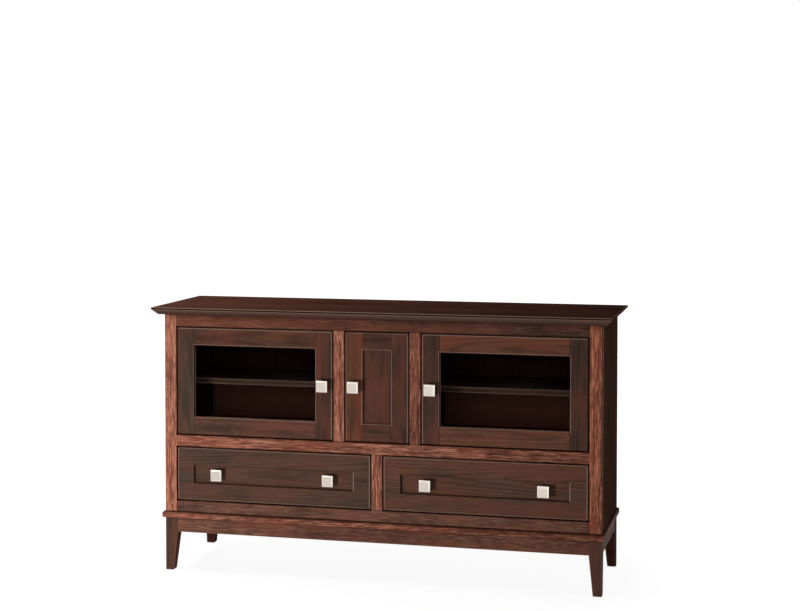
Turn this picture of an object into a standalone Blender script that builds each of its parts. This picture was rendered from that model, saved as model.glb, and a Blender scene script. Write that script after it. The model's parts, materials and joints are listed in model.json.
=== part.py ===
"""Low television console in stained hardwood, built as a face-framed case on a legged base.

Metres, +Z up, front towards -Y. The origin is on the floor, at the centre of the plan.
Two glazed doors and a panelled door turn on pivot pins, and two drawers slide on centre guides.
"""

import bmesh
import bpy
from mathutils import Vector

for item in list(bpy.data.objects):
    bpy.data.objects.remove(item, do_unlink=True)

# Case and top
case_width = 1.524
case_depth = 0.436
board_thickness = 0.019
back_thickness = 0.006
top_thickness = 0.0254
top_overhang_front = 0.038
top_overhang_side = 0.036
top_edge_height = 0.0065

# Face frame, named from the floor up and from the centre out
bottom_rail_height = 0.041
drawer_opening_height = 0.188
middle_rail_height = 0.041
door_opening_height = 0.377
top_rail_height = 0.043
centre_opening_width = 0.2246
mullion_width = 0.041
drawer_mullion_width = 0.041
stile_width = 0.044
frame_thickness = 0.022

# Doors and drawer fronts
reveal = 0.003
panel_frame_width = 0.061
panel_setback = 0.008
rebate = 0.008
glass_thickness = 0.004
wood_panel_thickness = 0.008

# Door pivots
pivot_radius = 0.003
pivot_socket_radius = 0.0035
pivot_length = 0.010
pivot_from_edge = 0.008
pivot_from_face = 0.006
pivot_collar_radius = 0.005

# Drawer boxes and their guides
drawer_wall = 0.012
drawer_bottom_thickness = 0.006
drawer_bottom_raise = 0.015
drawer_box_height = 0.150
drawer_side_clearance = 0.003
drawer_back_clearance = 0.025
guide_width = 0.040
guide_height = 0.010
shoe_width = 0.012
shoe_clearance = 0.0008
shoe_lift = 0.002

# Shelves and cable slots
shelf_thickness = 0.019
shelf_top_height = 0.664
shelf_setback = 0.100
shelf_back_clearance = 0.025
cable_slot_width = 0.100
cable_slot_height = 0.050
cable_slot_corner = 0.012
cable_slot_below_top = 0.1025

# Base
leg_width = 0.044
leg_foot_width = 0.030
leg_clearance = 0.136
apron_height = 0.050
apron_thickness = 0.020
apron_setback = 0.0015
waist_height = 0.0215
waist_width = 0.060
waist_projection = 0.009
waist_round = 0.005

# Knobs
knob_size = 0.039
knob_projection = 0.028
knob_head_thickness = 0.009
knob_rim_width = 0.0045
knob_rim_fall = 0.0022
knob_stem_radius = 0.008
knob_base_radius = 0.011
knob_base_thickness = 0.003
drawer_knob_spacing = 0.400

# Clearances and easing
seat_gap = 0.0003
edge_ease = 0.002
inner_ease = 0.0006
overrun = 0.010

# Counts
round_segments = 16
waist_round_segments = 3
slot_corner_segments = 4

# Levels above the floor
waist_bottom = leg_clearance + apron_height
case_bottom = waist_bottom + waist_height
drawer_sill = case_bottom + bottom_rail_height
drawer_head = drawer_sill + drawer_opening_height
door_sill = drawer_head + middle_rail_height
door_head = door_sill + door_opening_height
case_top = door_head + top_rail_height
console_top = case_top + top_thickness

# Distances from the centre line, the same on both sides
case_half = case_width / 2
bay_wall = case_half - board_thickness
side_opening_edge = case_half - stile_width
centre_half = centre_opening_width / 2
mullion_outer = centre_half + mullion_width
mullion_middle = centre_half + mullion_width / 2
drawer_opening_edge = drawer_mullion_width / 2

# Planes from front to back
front = (top_overhang_front - case_depth) / 2
back = front + case_depth
frame_back = front + frame_thickness
inside_front = frame_back + seat_gap
back_panel_front = back - back_thickness
inside_back = back_panel_front - seat_gap

pieces = bpy.data.collections.new("tv_console")
cutters = bpy.data.collections.new("cutters")
for group in (pieces, cutters):
    bpy.context.scene.collection.children.link(group)


def make_material(name, colour, roughness, metallic=0.0):
    material = bpy.data.materials.new(name)
    material.use_nodes = True
    shader = material.node_tree.nodes["Principled BSDF"]
    shader.inputs["Base Color"].default_value = (*colour, 1.0)
    shader.inputs["Roughness"].default_value = roughness
    shader.inputs["Metallic"].default_value = metallic
    material.diffuse_color = (*colour, 1.0)
    return material


frame_wood = make_material("frame_wood", (0.130, 0.050, 0.032), 0.42)
door_wood = make_material("door_wood", (0.062, 0.030, 0.021), 0.45)
top_wood = make_material("top_wood", (0.055, 0.021, 0.015), 0.30)
case_wood = make_material("case_wood", (0.050, 0.024, 0.017), 0.50)
drawer_box_wood = make_material("drawer_box_wood", (0.520, 0.360, 0.200), 0.50)
pane_glass = make_material("pane_glass", (0.800, 0.850, 0.840), 0.05)
satin_nickel = make_material("satin_nickel", (0.620, 0.560, 0.500), 0.32, 1.0)


def shape_from_spans(x_span, y_span, z_span):
    """Returns a bmesh cube that fills the spans, centred on its own origin, and where its centre goes."""
    low, high = (Vector(corner) for corner in zip(x_span, y_span, z_span))
    shape = bmesh.new()
    bmesh.ops.create_cube(shape, size=1)
    bmesh.ops.scale(shape, vec=high - low, verts=shape.verts)
    return shape, (low + high) / 2


def add_object(name, shape, place, material=None):
    """Turns a bmesh into a piece, or into a cutter when it has no material."""
    mesh = bpy.data.meshes.new(name)
    bmesh.ops.recalc_face_normals(shape, faces=shape.faces)
    shape.to_mesh(mesh)
    shape.free()
    item = bpy.data.objects.new(name, mesh)
    item.location = place
    if material:
        mesh.materials.append(material)
        pieces.objects.link(item)
    else:
        item.hide_render = True
        item.display_type = "WIRE"
        cutters.objects.link(item)
    return item


def add_bevel(item, width, segments=1):
    bevel = item.modifiers.new("eased edges", "BEVEL")
    bevel.width = width
    bevel.segments = segments
    bevel.limit_method = "ANGLE"


def add_boolean(item, operation, other):
    cut = item.modifiers.new(other.name, "BOOLEAN")
    cut.operation = operation
    cut.solver = "EXACT"
    cut.object = other


def board(name, x_span, y_span, z_span, material, ease=edge_ease):
    shape, place = shape_from_spans(x_span, y_span, z_span)
    item = add_object(name, shape, place, material)
    if ease:
        add_bevel(item, ease)
    return item


def cutter(name, x_span, y_span, z_span):
    return add_object(name, *shape_from_spans(x_span, y_span, z_span))


def flared_cutter(name, x_span, z_span, y_face, y_end, ease):
    """An opening cut from the face at y_face to y_end, whose mouth widens by ease at the face."""
    y_start = y_face - overrun
    shape, place = shape_from_spans(x_span, (y_start, y_end), z_span)
    geometry = shape.verts[:] + shape.edges[:] + shape.faces[:]
    throat = Vector((0, y_face + ease - place.y, 0))
    bmesh.ops.bisect_plane(shape, geom=geometry, plane_co=throat, plane_no=(0, 1, 0))
    flare = ease + overrun
    for vertex in shape.verts:
        if vertex.co.y < throat.y - ease:
            vertex.co.x += flare if vertex.co.x > 0 else -flare
            vertex.co.z += flare if vertex.co.z > 0 else -flare
    return add_object(name, shape, place)


def add_rod(shape, radius, length, middle, segments=round_segments, axis="Z"):
    """Adds a closed rod to a bmesh, centred on the point and lying along Y or Z."""
    made = bmesh.ops.create_cone(
        shape, cap_ends=True, segments=segments, radius1=radius, radius2=radius, depth=length)
    if axis == "Y":
        for vertex in made["verts"]:
            vertex.co = Vector((vertex.co.x, vertex.co.z, -vertex.co.y))
    bmesh.ops.translate(shape, vec=middle, verts=made["verts"])


def evaluated_mesh(item):
    graph = bpy.context.evaluated_depsgraph_get()
    graph.update()
    return bpy.data.meshes.new_from_object(item.evaluated_get(graph))


def sliced(name, blank, x_span, z_span, material):
    """Cuts one member out of a blank: a span's open side is None and runs past the blank."""
    mesh = evaluated_mesh(blank)
    mesh.materials.clear()
    mesh.materials.append(material)
    item = bpy.data.objects.new(name, mesh)
    item.location = blank.location
    pieces.objects.link(item)
    reach = Vector(blank.dimensions) / 2 + Vector((overrun, overrun, overrun))
    low = blank.location - reach
    high = blank.location + reach
    kerf = seat_gap / 2
    x_low, x_high = x_span
    z_low, z_high = z_span
    keep = cutter(
        name + "_keep",
        (low.x if x_low is None else x_low + kerf, high.x if x_high is None else x_high - kerf),
        (low.y, high.y),
        (low.z if z_low is None else z_low + kerf, high.z if z_high is None else z_high - kerf))
    add_boolean(item, "INTERSECT", keep)
    return item


def mirrored(span, side):
    """Puts a span measured outwards from the centre line on one side of it: side is -1 or 1."""
    return (span[0], span[1]) if side > 0 else (-span[1], -span[0])


sides = {"left": -1, "right": 1}

# Face frame: one blank with its five openings, sliced into members
frame_blank = cutter(
    "face_frame_blank", (-case_half, case_half), (front, frame_back), (case_bottom, case_top))
add_bevel(frame_blank, edge_ease)
centre_opening = flared_cutter(
    "centre_opening", (-centre_half, centre_half), (door_sill, door_head), front, frame_back + overrun,
    edge_ease)
add_boolean(frame_blank, "DIFFERENCE", centre_opening)
for side_name, side in sides.items():
    door_opening = flared_cutter(
        side_name + "_door_opening", mirrored((mullion_outer, side_opening_edge), side),
        (door_sill, door_head), front, frame_back + overrun, edge_ease)
    drawer_opening = flared_cutter(
        side_name + "_drawer_opening", mirrored((drawer_opening_edge, side_opening_edge), side),
        (drawer_sill, drawer_head), front, frame_back + overrun, edge_ease)
    add_boolean(frame_blank, "DIFFERENCE", door_opening)
    add_boolean(frame_blank, "DIFFERENCE", drawer_opening)

between_stiles = (-side_opening_edge, side_opening_edge)
sliced("face_stile_left", frame_blank, (None, -side_opening_edge), (None, None), frame_wood)
sliced("face_stile_right", frame_blank, (side_opening_edge, None), (None, None), frame_wood)
rail_top = sliced("face_rail_top", frame_blank, between_stiles, (door_head, None), frame_wood)
rail_middle = sliced("face_rail_middle", frame_blank, between_stiles, (drawer_head, door_sill), frame_wood)
sliced("face_rail_bottom", frame_blank, between_stiles, (None, drawer_sill), frame_wood)
for side_name, side in sides.items():
    sliced(
        "mullion_" + side_name, frame_blank, mirrored((centre_half - reveal, mullion_outer + reveal), side),
        (door_sill, door_head), frame_wood)
sliced(
    "drawer_mullion", frame_blank, (-drawer_opening_edge - reveal, drawer_opening_edge + reveal),
    (drawer_sill, drawer_head), frame_wood)

# Top: the front and side edges are bevelled from below, the back edge stays square
top_shape, top_place = shape_from_spans(
    (-case_half - top_overhang_side, case_half + top_overhang_side), (front - top_overhang_front, back),
    (case_top + seat_gap, console_top))
under_edges = [
    edge for edge in top_shape.edges
    if all(vertex.co.z < 0 for vertex in edge.verts) and not all(vertex.co.y > 0 for vertex in edge.verts)]
bmesh.ops.bevel(
    top_shape, geom=under_edges, offset=top_thickness - top_edge_height, offset_type="OFFSET", segments=1,
    profile=0.5, affect="EDGES", clamp_overlap=True)
top = add_object("top", top_shape, top_place, top_wood)
add_bevel(top, inner_ease)

# Case
for side_name, side in sides.items():
    board(
        "side_panel_" + side_name, mirrored((bay_wall, case_half), side), (inside_front, back),
        (case_bottom + seat_gap, case_top), case_wood, inner_ease)
    board(
        "partition_" + side_name,
        mirrored((mullion_middle - board_thickness / 2, mullion_middle + board_thickness / 2), side),
        (inside_front, inside_back), (door_sill + seat_gap, case_top), case_wood, inner_ease)
between_sides = (-bay_wall + seat_gap, bay_wall - seat_gap)
board(
    "bottom_panel", between_sides, (inside_front, inside_back),
    (drawer_sill - board_thickness, drawer_sill), case_wood, inner_ease)
board(
    "deck", between_sides, (inside_front, inside_back),
    (door_sill - board_thickness, door_sill), case_wood, inner_ease)
board(
    "drawer_partition", (-board_thickness / 2, board_thickness / 2), (inside_front, inside_back),
    (drawer_sill + seat_gap, door_sill - board_thickness - seat_gap), case_wood, inner_ease)

# Back panel with a round-cornered cable slot behind each glazed bay
back_panel = board(
    "back_panel", between_sides, (back_panel_front, back), (case_bottom + seat_gap, case_top), case_wood, 0)
slot_top = case_top - cable_slot_below_top
slot_bottom = slot_top - cable_slot_height
for side_name, side in sides.items():
    slot_middle = (mullion_middle + bay_wall) / 2
    slot_shape, slot_place = shape_from_spans(
        mirrored((slot_middle - cable_slot_width / 2, slot_middle + cable_slot_width / 2), side),
        (back_panel_front - overrun, back + overrun), (slot_bottom, slot_top))
    corner_edges = [edge for edge in slot_shape.edges if edge.verts[0].co.y * edge.verts[1].co.y < 0]
    bmesh.ops.bevel(
        slot_shape, geom=corner_edges, offset=cable_slot_corner, offset_type="OFFSET",
        segments=slot_corner_segments, profile=0.5, affect="EDGES", clamp_overlap=True)
    add_boolean(back_panel, "DIFFERENCE", add_object(side_name + "_cable_slot", slot_shape, slot_place))

# Shelves
partition_inner = mullion_middle - board_thickness / 2 - seat_gap
partition_outer = mullion_middle + board_thickness / 2 + seat_gap
shelf_spans = {
    "left": (-bay_wall + seat_gap, -partition_outer),
    "centre": (-partition_inner, partition_inner),
    "right": (partition_outer, bay_wall - seat_gap)}
for shelf_name, span in shelf_spans.items():
    board(
        "shelf_" + shelf_name, span, (front + shelf_setback, inside_back - shelf_back_clearance),
        (shelf_top_height - shelf_thickness, shelf_top_height), case_wood)

# Base: legs that taper on their two inner faces below the apron
ends = {"front": -1, "rear": 1}
leg_top = waist_bottom - seat_gap
leg_edge_x = case_half - leg_width
for end_name, end in ends.items():
    y_span = (front, front + leg_width) if end < 0 else (back - leg_width, back)
    for side_name, side in sides.items():
        shape, place = shape_from_spans(mirrored((leg_edge_x, case_half), side), y_span, (0, leg_top))
        geometry = shape.verts[:] + shape.edges[:] + shape.faces[:]
        knee = Vector((0, 0, leg_clearance - place.z))
        bmesh.ops.bisect_plane(shape, geom=geometry, plane_co=knee, plane_no=(0, 0, 1))
        taper = leg_width - leg_foot_width
        for vertex in shape.verts:
            if vertex.co.z < knee.z - edge_ease:
                if vertex.co.x * side < 0:
                    vertex.co.x += taper * side
                if vertex.co.y * end < 0:
                    vertex.co.y += taper * end
        leg = add_object(f"leg_{end_name}_{side_name}", shape, place, door_wood)
        add_bevel(leg, edge_ease)

# Aprons between the legs
apron_z = (leg_clearance, leg_top)
apron_x = (-leg_edge_x + seat_gap, leg_edge_x - seat_gap)
apron_y = (front + leg_width + seat_gap, back - leg_width - seat_gap)
front_apron_face = front + apron_setback
rear_apron_face = back - apron_setback
board("apron_front", apron_x, (front_apron_face, front_apron_face + apron_thickness), apron_z, frame_wood)
board("apron_rear", apron_x, (rear_apron_face - apron_thickness, rear_apron_face), apron_z, frame_wood)
side_apron_face = case_half - apron_setback
for side_name, side in sides.items():
    board(
        "apron_" + side_name, mirrored((side_apron_face - apron_thickness, side_apron_face), side), apron_y,
        apron_z, frame_wood)

# Waist moulding: mitred at the front corners, with its outer edges rounded
waist_outer_x = case_half + waist_projection
waist_outer_y = front - waist_projection
waist_inner_x = waist_outer_x - waist_width
waist_inner_y = waist_outer_y + waist_width
waist_z = (waist_bottom, case_bottom - seat_gap)
mitre_gap = seat_gap / 2


def round_outer_edges(shape, is_outer):
    outer = [edge for edge in shape.edges if all(is_outer(vertex.co) for vertex in edge.verts)
             and abs(edge.verts[0].co.z - edge.verts[1].co.z) < seat_gap]
    bmesh.ops.bevel(
        shape, geom=outer, offset=waist_round, offset_type="OFFSET", segments=waist_round_segments,
        profile=0.5, affect="EDGES", clamp_overlap=True)


shape, place = shape_from_spans(
    (-waist_outer_x + mitre_gap, waist_outer_x - mitre_gap), (waist_outer_y, waist_inner_y), waist_z)
for vertex in shape.verts:
    if vertex.co.y > 0:
        vertex.co.x += -waist_width if vertex.co.x > 0 else waist_width
round_outer_edges(shape, lambda point: point.y < 0)
add_object("waist_front", shape, place, frame_wood)
for side_name, side in sides.items():
    shape, place = shape_from_spans(
        mirrored((waist_inner_x, waist_outer_x), side), (waist_outer_y + mitre_gap, back), waist_z)
    for vertex in shape.verts:
        if vertex.co.x * side < 0 and vertex.co.y < 0:
            vertex.co.y += waist_width
    round_outer_edges(shape, lambda point: point.x * side > 0)
    add_object("waist_" + side_name, shape, place, frame_wood)
board(
    "waist_rear", (-waist_inner_x + seat_gap, waist_inner_x - seat_gap), (back - waist_width, back), waist_z,
    frame_wood, 0)

# Knob: a square head with a falling rim, on a round stem and base
head_shape, head_place = shape_from_spans(
    (-knob_size / 2, knob_size / 2), (-knob_projection, -knob_projection + knob_head_thickness),
    (-knob_size / 2, knob_size / 2))
knob_face = min(head_shape.faces, key=lambda face: face.calc_center_median().y)
bmesh.ops.inset_region(head_shape, faces=[knob_face], thickness=knob_rim_width)
for vertex in head_shape.verts:
    on_rim = abs(abs(vertex.co.x) - knob_size / 2) < inner_ease
    if vertex.co.y < 0 and on_rim:
        vertex.co.y += knob_rim_fall
knob_head = add_object("knob_head", head_shape, head_place)
add_bevel(knob_head, inner_ease, 2)
stem_length = knob_projection - knob_head_thickness / 2
stem_shape = bmesh.new()
add_rod(stem_shape, knob_stem_radius, stem_length, (0, -stem_length / 2, 0), axis="Y")
knob_stem = add_object("knob_stem", stem_shape, (0, 0, 0))
base_shape = bmesh.new()
add_rod(base_shape, knob_base_radius, knob_base_thickness, (0, -knob_base_thickness / 2, 0), axis="Y")
knob_pattern = add_object("knob_pattern", base_shape, (0, 0, 0))
add_boolean(knob_pattern, "UNION", knob_stem)
add_boolean(knob_pattern, "UNION", knob_head)
knob_mesh = evaluated_mesh(knob_pattern)
knob_mesh.materials.clear()
knob_mesh.materials.append(satin_nickel)


def knob(name, x, y_face, z, parent):
    item = bpy.data.objects.new(name, knob_mesh)
    pieces.objects.link(item)
    item.parent = parent
    item.location = Vector((x, y_face - seat_gap, z)) - parent.location
    return item


def joint_empty(name, place):
    """The empty that a door turns about or a drawer slides with."""
    item = bpy.data.objects.new(name, None)
    item.location = place
    item.empty_display_size = panel_frame_width
    pieces.objects.link(item)
    return item


def ride(item, parent):
    item.parent = parent
    item.location = Vector(item.location) - parent.location


# Doors: each frame is a blank with a sight opening and a rebate, sliced into stiles and rails
door_bottom = door_sill + reveal
door_top = door_head - reveal
sight_bottom = door_bottom + panel_frame_width
sight_top = door_top - panel_frame_width
knob_height = (door_bottom + door_top) / 2
infill_front = front + panel_setback + seat_gap


def door(name, x_span, hinge_side, infill_name, infill_thickness, infill_material):
    """hinge_side is -1 for a door that hangs on its left stile and 1 for its right stile."""
    left, right = x_span
    sight_left = left + panel_frame_width
    sight_right = right - panel_frame_width
    blank = cutter(name + "_blank", x_span, (front, frame_back), (door_bottom, door_top))
    add_bevel(blank, edge_ease)
    sight = flared_cutter(
        name + "_sight", (sight_left, sight_right), (sight_bottom, sight_top), front, frame_back + overrun,
        edge_ease)
    pocket = cutter(
        name + "_pocket", (sight_left - rebate, sight_right + rebate),
        (front + panel_setback, frame_back + overrun), (sight_bottom - rebate, sight_top + rebate))
    add_boolean(blank, "DIFFERENCE", sight)
    add_boolean(blank, "DIFFERENCE", pocket)

    pivot_x = (left + pivot_from_edge) if hinge_side < 0 else (right - pivot_from_edge)
    pivot_y = front + pivot_from_face
    axis = joint_empty(name + "_axis", (pivot_x, pivot_y, knob_height))
    stile_left = sliced(name + "_stile_left", blank, (None, sight_left), (None, None), door_wood)
    stile_right = sliced(name + "_stile_right", blank, (sight_right, None), (None, None), door_wood)
    rail_spans = {"top": (knob_height, None), "bottom": (None, knob_height)}
    rails = [sliced(f"{name}_rail_{level}", blank, (sight_left, sight_right), span, door_wood)
             for level, span in rail_spans.items()]
    infill = board(
        f"{name}_{infill_name}", (sight_left - rebate + seat_gap, sight_right + rebate - seat_gap),
        (infill_front, infill_front + infill_thickness),
        (sight_bottom - rebate + seat_gap, sight_top + rebate - seat_gap), infill_material, 0)

    # The hinge stile carries both pins, and a collar that rests on the rail
    hinge_stile, knob_stile = (stile_left, stile_right) if hinge_side < 0 else (stile_right, stile_left)
    pin_reach = reveal + pivot_length
    pins = bmesh.new()
    for end_level, outwards in ((door_bottom, -1), (door_top, 1)):
        pin_middle = end_level + outwards * (pin_reach - overrun) / 2
        add_rod(pins, pivot_radius, pin_reach + overrun, (0, 0, pin_middle - knob_height))
    pins_item = add_object(name + "_pins", pins, axis.location)
    collar = bmesh.new()
    collar_height = reveal - seat_gap
    collar_middle = door_bottom - (collar_height - overrun) / 2
    add_rod(collar, pivot_collar_radius, collar_height + overrun, (0, 0, collar_middle - knob_height))
    collar_item = add_object(name + "_collar", collar, axis.location)
    add_boolean(hinge_stile, "UNION", pins_item)
    add_boolean(hinge_stile, "UNION", collar_item)
    socket_reach = reveal + pivot_length + seat_gap
    for rail, end_level, outwards in ((rail_middle, door_bottom, -1), (rail_top, door_top, 1)):
        socket = bmesh.new()
        socket_middle = end_level + outwards * socket_reach / 2
        add_rod(socket, pivot_socket_radius, socket_reach, (0, 0, socket_middle - knob_height))
        add_boolean(rail, "DIFFERENCE", add_object(f"{name}_{rail.name}_socket", socket, axis.location))

    for item in [stile_left, stile_right, infill, *rails]:
        ride(item, axis)
    knob_x = right - panel_frame_width / 2 if hinge_side < 0 else left + panel_frame_width / 2
    knob(name + "_knob", knob_x, front, knob_height, axis)


side_door_span = (mullion_outer + reveal, side_opening_edge - reveal)
for side_name, side in sides.items():
    door("door_" + side_name, mirrored(side_door_span, side), side, "glass", glass_thickness, pane_glass)
door(
    "door_centre", (-centre_half + reveal, centre_half - reveal), 1, "panel", wood_panel_thickness, door_wood)

# Drawers: a front with a sunk field, and a box with a shoe that straddles the centre guide
drawer_bottom = drawer_sill + reveal
drawer_top = drawer_head - reveal
drawer_middle_height = (drawer_bottom + drawer_top) / 2
box_bottom = drawer_sill + seat_gap
box_top = box_bottom + drawer_box_height
box_floor = box_bottom + drawer_bottom_raise
box_front = frame_back + seat_gap
box_back = inside_back - drawer_back_clearance

for side_name, side in sides.items():
    front_span = mirrored((drawer_opening_edge + reveal, side_opening_edge - reveal), side)
    middle = (front_span[0] + front_span[1]) / 2
    name = "drawer_" + side_name
    slide = joint_empty(name + "_slide", (middle, front, drawer_middle_height))

    face = board(name + "_front", front_span, (front, frame_back), (drawer_bottom, drawer_top), door_wood)
    field = flared_cutter(
        name + "_field", (front_span[0] + panel_frame_width, front_span[1] - panel_frame_width),
        (drawer_bottom + panel_frame_width, drawer_top - panel_frame_width), front, front + panel_setback,
        edge_ease)
    add_boolean(face, "DIFFERENCE", field)

    box_left = front_span[0] + drawer_side_clearance - reveal
    box_right = front_span[1] - drawer_side_clearance + reveal
    inner_x = (box_left + drawer_wall, box_right - drawer_wall)
    box = board(
        name + "_box", (box_left, box_right), (box_front, box_back), (box_bottom, box_top), drawer_box_wood,
        inner_ease)
    hollow = cutter(
        name + "_hollow", inner_x, (box_front + drawer_wall, box_back - drawer_wall),
        (box_floor + drawer_bottom_thickness, box_top + overrun))
    channel = cutter(
        name + "_channel", inner_x, (box_front - overrun, box_back + overrun),
        (box_bottom - overrun, box_floor))
    add_boolean(box, "DIFFERENCE", hollow)
    add_boolean(box, "DIFFERENCE", channel)
    shoe_start = guide_width / 2 + shoe_clearance
    for shoe_side in sides.values():
        shoe_x = sorted((middle + shoe_side * shoe_start, middle + shoe_side * (shoe_start + shoe_width)))
        shoe = cutter(
            f"{name}_shoe_{shoe_side}", shoe_x, (box_front + drawer_wall, box_back - drawer_wall),
            (box_bottom + shoe_lift, box_floor + drawer_bottom_thickness / 2))
        add_boolean(box, "UNION", shoe)
    for item in (face, box):
        ride(item, slide)

    for knob_name, knob_side in sides.items():
        knob(
            f"{name}_knob_{knob_name}", middle + knob_side * drawer_knob_spacing / 2, front + panel_setback,
            drawer_middle_height, slide)
    guide_bottom = drawer_sill + seat_gap
    board(
        "drawer_guide_" + side_name, (middle - guide_width / 2, middle + guide_width / 2),
        (inside_front, inside_back), (guide_bottom, guide_bottom + guide_height), frame_wood, inner_ease)
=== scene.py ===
import json
import math
import random

import bmesh
import bpy
from mathutils import Matrix, Vector


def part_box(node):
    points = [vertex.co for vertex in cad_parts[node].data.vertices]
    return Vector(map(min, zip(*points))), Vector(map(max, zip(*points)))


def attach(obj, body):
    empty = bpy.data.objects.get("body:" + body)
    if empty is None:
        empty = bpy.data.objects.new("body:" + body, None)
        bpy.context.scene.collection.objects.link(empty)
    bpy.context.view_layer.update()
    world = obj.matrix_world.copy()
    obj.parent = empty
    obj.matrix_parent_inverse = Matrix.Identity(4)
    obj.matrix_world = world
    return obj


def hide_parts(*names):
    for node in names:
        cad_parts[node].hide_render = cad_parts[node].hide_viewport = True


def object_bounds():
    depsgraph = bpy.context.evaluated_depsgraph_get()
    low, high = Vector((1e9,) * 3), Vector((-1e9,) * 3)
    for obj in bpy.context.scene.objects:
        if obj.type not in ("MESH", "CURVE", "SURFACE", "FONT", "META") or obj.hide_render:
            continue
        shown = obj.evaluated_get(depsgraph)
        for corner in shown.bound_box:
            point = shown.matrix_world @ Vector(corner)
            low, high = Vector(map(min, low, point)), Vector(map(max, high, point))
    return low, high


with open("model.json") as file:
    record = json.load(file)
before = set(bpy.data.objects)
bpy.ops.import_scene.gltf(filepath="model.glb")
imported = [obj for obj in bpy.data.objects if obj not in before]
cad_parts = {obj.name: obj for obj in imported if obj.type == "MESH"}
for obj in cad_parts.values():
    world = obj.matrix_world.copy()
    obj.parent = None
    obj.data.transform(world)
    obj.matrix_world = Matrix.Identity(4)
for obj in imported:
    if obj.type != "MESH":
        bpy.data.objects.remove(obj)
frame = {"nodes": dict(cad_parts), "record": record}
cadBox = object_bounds()
bodyOf = {node: body for body, members in frame["record"]["behaviour"]["bodies"].items() for node in members}

weldDistance = 0.00002   # closes the loose triangles of a CAD node
touching = 0.0002        # clearance between a fitted piece and what carries it
sharpFrom = 25           # degrees, edges that turn by more are softened
roundSteps = 2           # segments round a softened edge
flatWithin = 1           # degrees, CAD triangles that turn by less are one face
turnedTo = 0.5           # a face looks a way where its normal's share that way is more than this
squareTo = 0.9           # and looks straight that way above this


def newObject(name, data):
    item = bpy.data.objects.new(name, data)
    bpy.context.scene.collection.objects.link(item)
    return item


def fromSrgb(red, green, blue):
    def linear(value):
        share = value / 255
        return share / 12.92 if share <= 0.04045 else ((share + 0.055) / 1.055) ** 2.4
    return (linear(red), linear(green), linear(blue), 1.0)


# Camera

camera = {
    "place": (1.4022, -5.5743, 1.4708),
    "turn": 13.808,       # degrees to the left of straight ahead
    "tilt": 2.098,        # degrees below the horizon
    "lens": 74.44,        # millimetres, and so is the sensor
    "sensor": 36,
    "sight": 100,         # metres, how far it sees
    "shift": -0.12}       # the photograph was framed from standing height and cropped low

lensData = bpy.data.cameras.new("camera")
lensData.sensor_width = camera["sensor"]
lensData.lens = camera["lens"]
lensData.shift_y = camera["shift"]
lensData.clip_end = camera["sight"]
eye = newObject("camera", lensData)
eye.location = camera["place"]
eye.rotation_euler = (math.radians(90 - camera["tilt"]), 0, math.radians(camera["turn"]))
bpy.context.scene.camera = eye
bpy.context.scene.view_settings.view_transform = "Standard"
print("camera ready")


# Shader sums: a wire is an output socket, and each operator on it adds its Math node

class Wire:
    def __init__(self, sheet, socket):
        self.sheet = sheet
        self.socket = socket

    def math(self, operation, *values):
        return self.sheet.add("ShaderNodeMath", {"operation": operation}, dict(enumerate(values)))

    def __add__(self, other):
        return self.math("ADD", self, other)

    def __radd__(self, other):
        return self.math("ADD", other, self)

    def __sub__(self, other):
        return self.math("SUBTRACT", self, other)

    def __rsub__(self, other):
        return self.math("SUBTRACT", other, self)

    def __mul__(self, other):
        return self.math("MULTIPLY", self, other)

    def __rmul__(self, other):
        return self.math("MULTIPLY", other, self)

    def __pow__(self, other):
        return self.math("POWER", self, other)

    def sine(self):
        return self.math("SINE", self)

    def largest(self, other):
        return self.math("MAXIMUM", self, other)

    # 0 below low, 1 above high, straight between
    def between(self, low, high):
        return self.sheet.add("ShaderNodeMapRange", {"clamp": True}, {
            "Value": self, "From Min": low, "From Max": high})


class Sheet:
    def __init__(self, tree):
        self.tree = tree
        tree.nodes.clear()

    def add(self, kind, settings=None, inputs=None, output=0):
        node = self.tree.nodes.new(kind)
        for key, value in (settings or {}).items():
            if key == "stops":
                self.setStops(node.color_ramp, value)
            else:
                setattr(node, key, value)
        for key, value in (inputs or {}).items():
            if isinstance(value, Wire):
                self.tree.links.new(value.socket, node.inputs[key])
            else:
                node.inputs[key].default_value = value
        return Wire(self, node.outputs[output]) if node.outputs else node

    def setStops(self, ramp, stops):
        while len(ramp.elements) < len(stops):
            ramp.elements.new(0.5)
        for element, (position, colour) in zip(ramp.elements, stops):
            element.position = position
            element.color = colour

    def attribute(self, name, output="Fac"):
        return self.add("ShaderNodeAttribute", {"attribute_name": name}, output=output)

    def stretched(self, place, stretch):
        return self.add("ShaderNodeVectorMath", {"operation": "MULTIPLY"}, {0: place, 1: stretch})

    def noise(self, place, stretch, detail, roughness=0.5, distortion=0.0):
        return self.add("ShaderNodeTexNoise", {}, {
            "Vector": self.stretched(place, stretch), "Scale": 1.0, "Detail": detail,
            "Roughness": roughness, "Distortion": distortion}, "Fac")

    def blend(self, share, first, second, how="MIX"):
        return self.add("ShaderNodeMix", {"data_type": "RGBA", "blend_type": how}, {
            0: share, 6: first, 7: second}, 2)

    def bump(self, strength, depth, height):
        return self.add("ShaderNodeBump", {}, {
            "Strength": strength, "Distance": depth, "Height": height}, "Normal")

    def cover(self, shader):
        self.add("ShaderNodeOutputMaterial", {}, {"Surface": shader})


def newMaterial(name):
    material = bpy.data.materials.new(name)
    material.use_nodes = True
    return material, Sheet(material.node_tree)


# Wood: every board carries its own grain place, in metres along, across and through the tree,
# the lightness and warmth of its stain, and the wear, painted light and painted shade on its edges

warmTint = (1.20, 1.0, 0.86, 1.0)      # multiplies the stain where warmth is 1
ashTint = (0.78, 1.03, 1.05, 1.0)      # and where it is -1
# Painted shade: the colour of deep shadow in the gaps between parts
gapShadeColour = (14, 8, 6)
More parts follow.
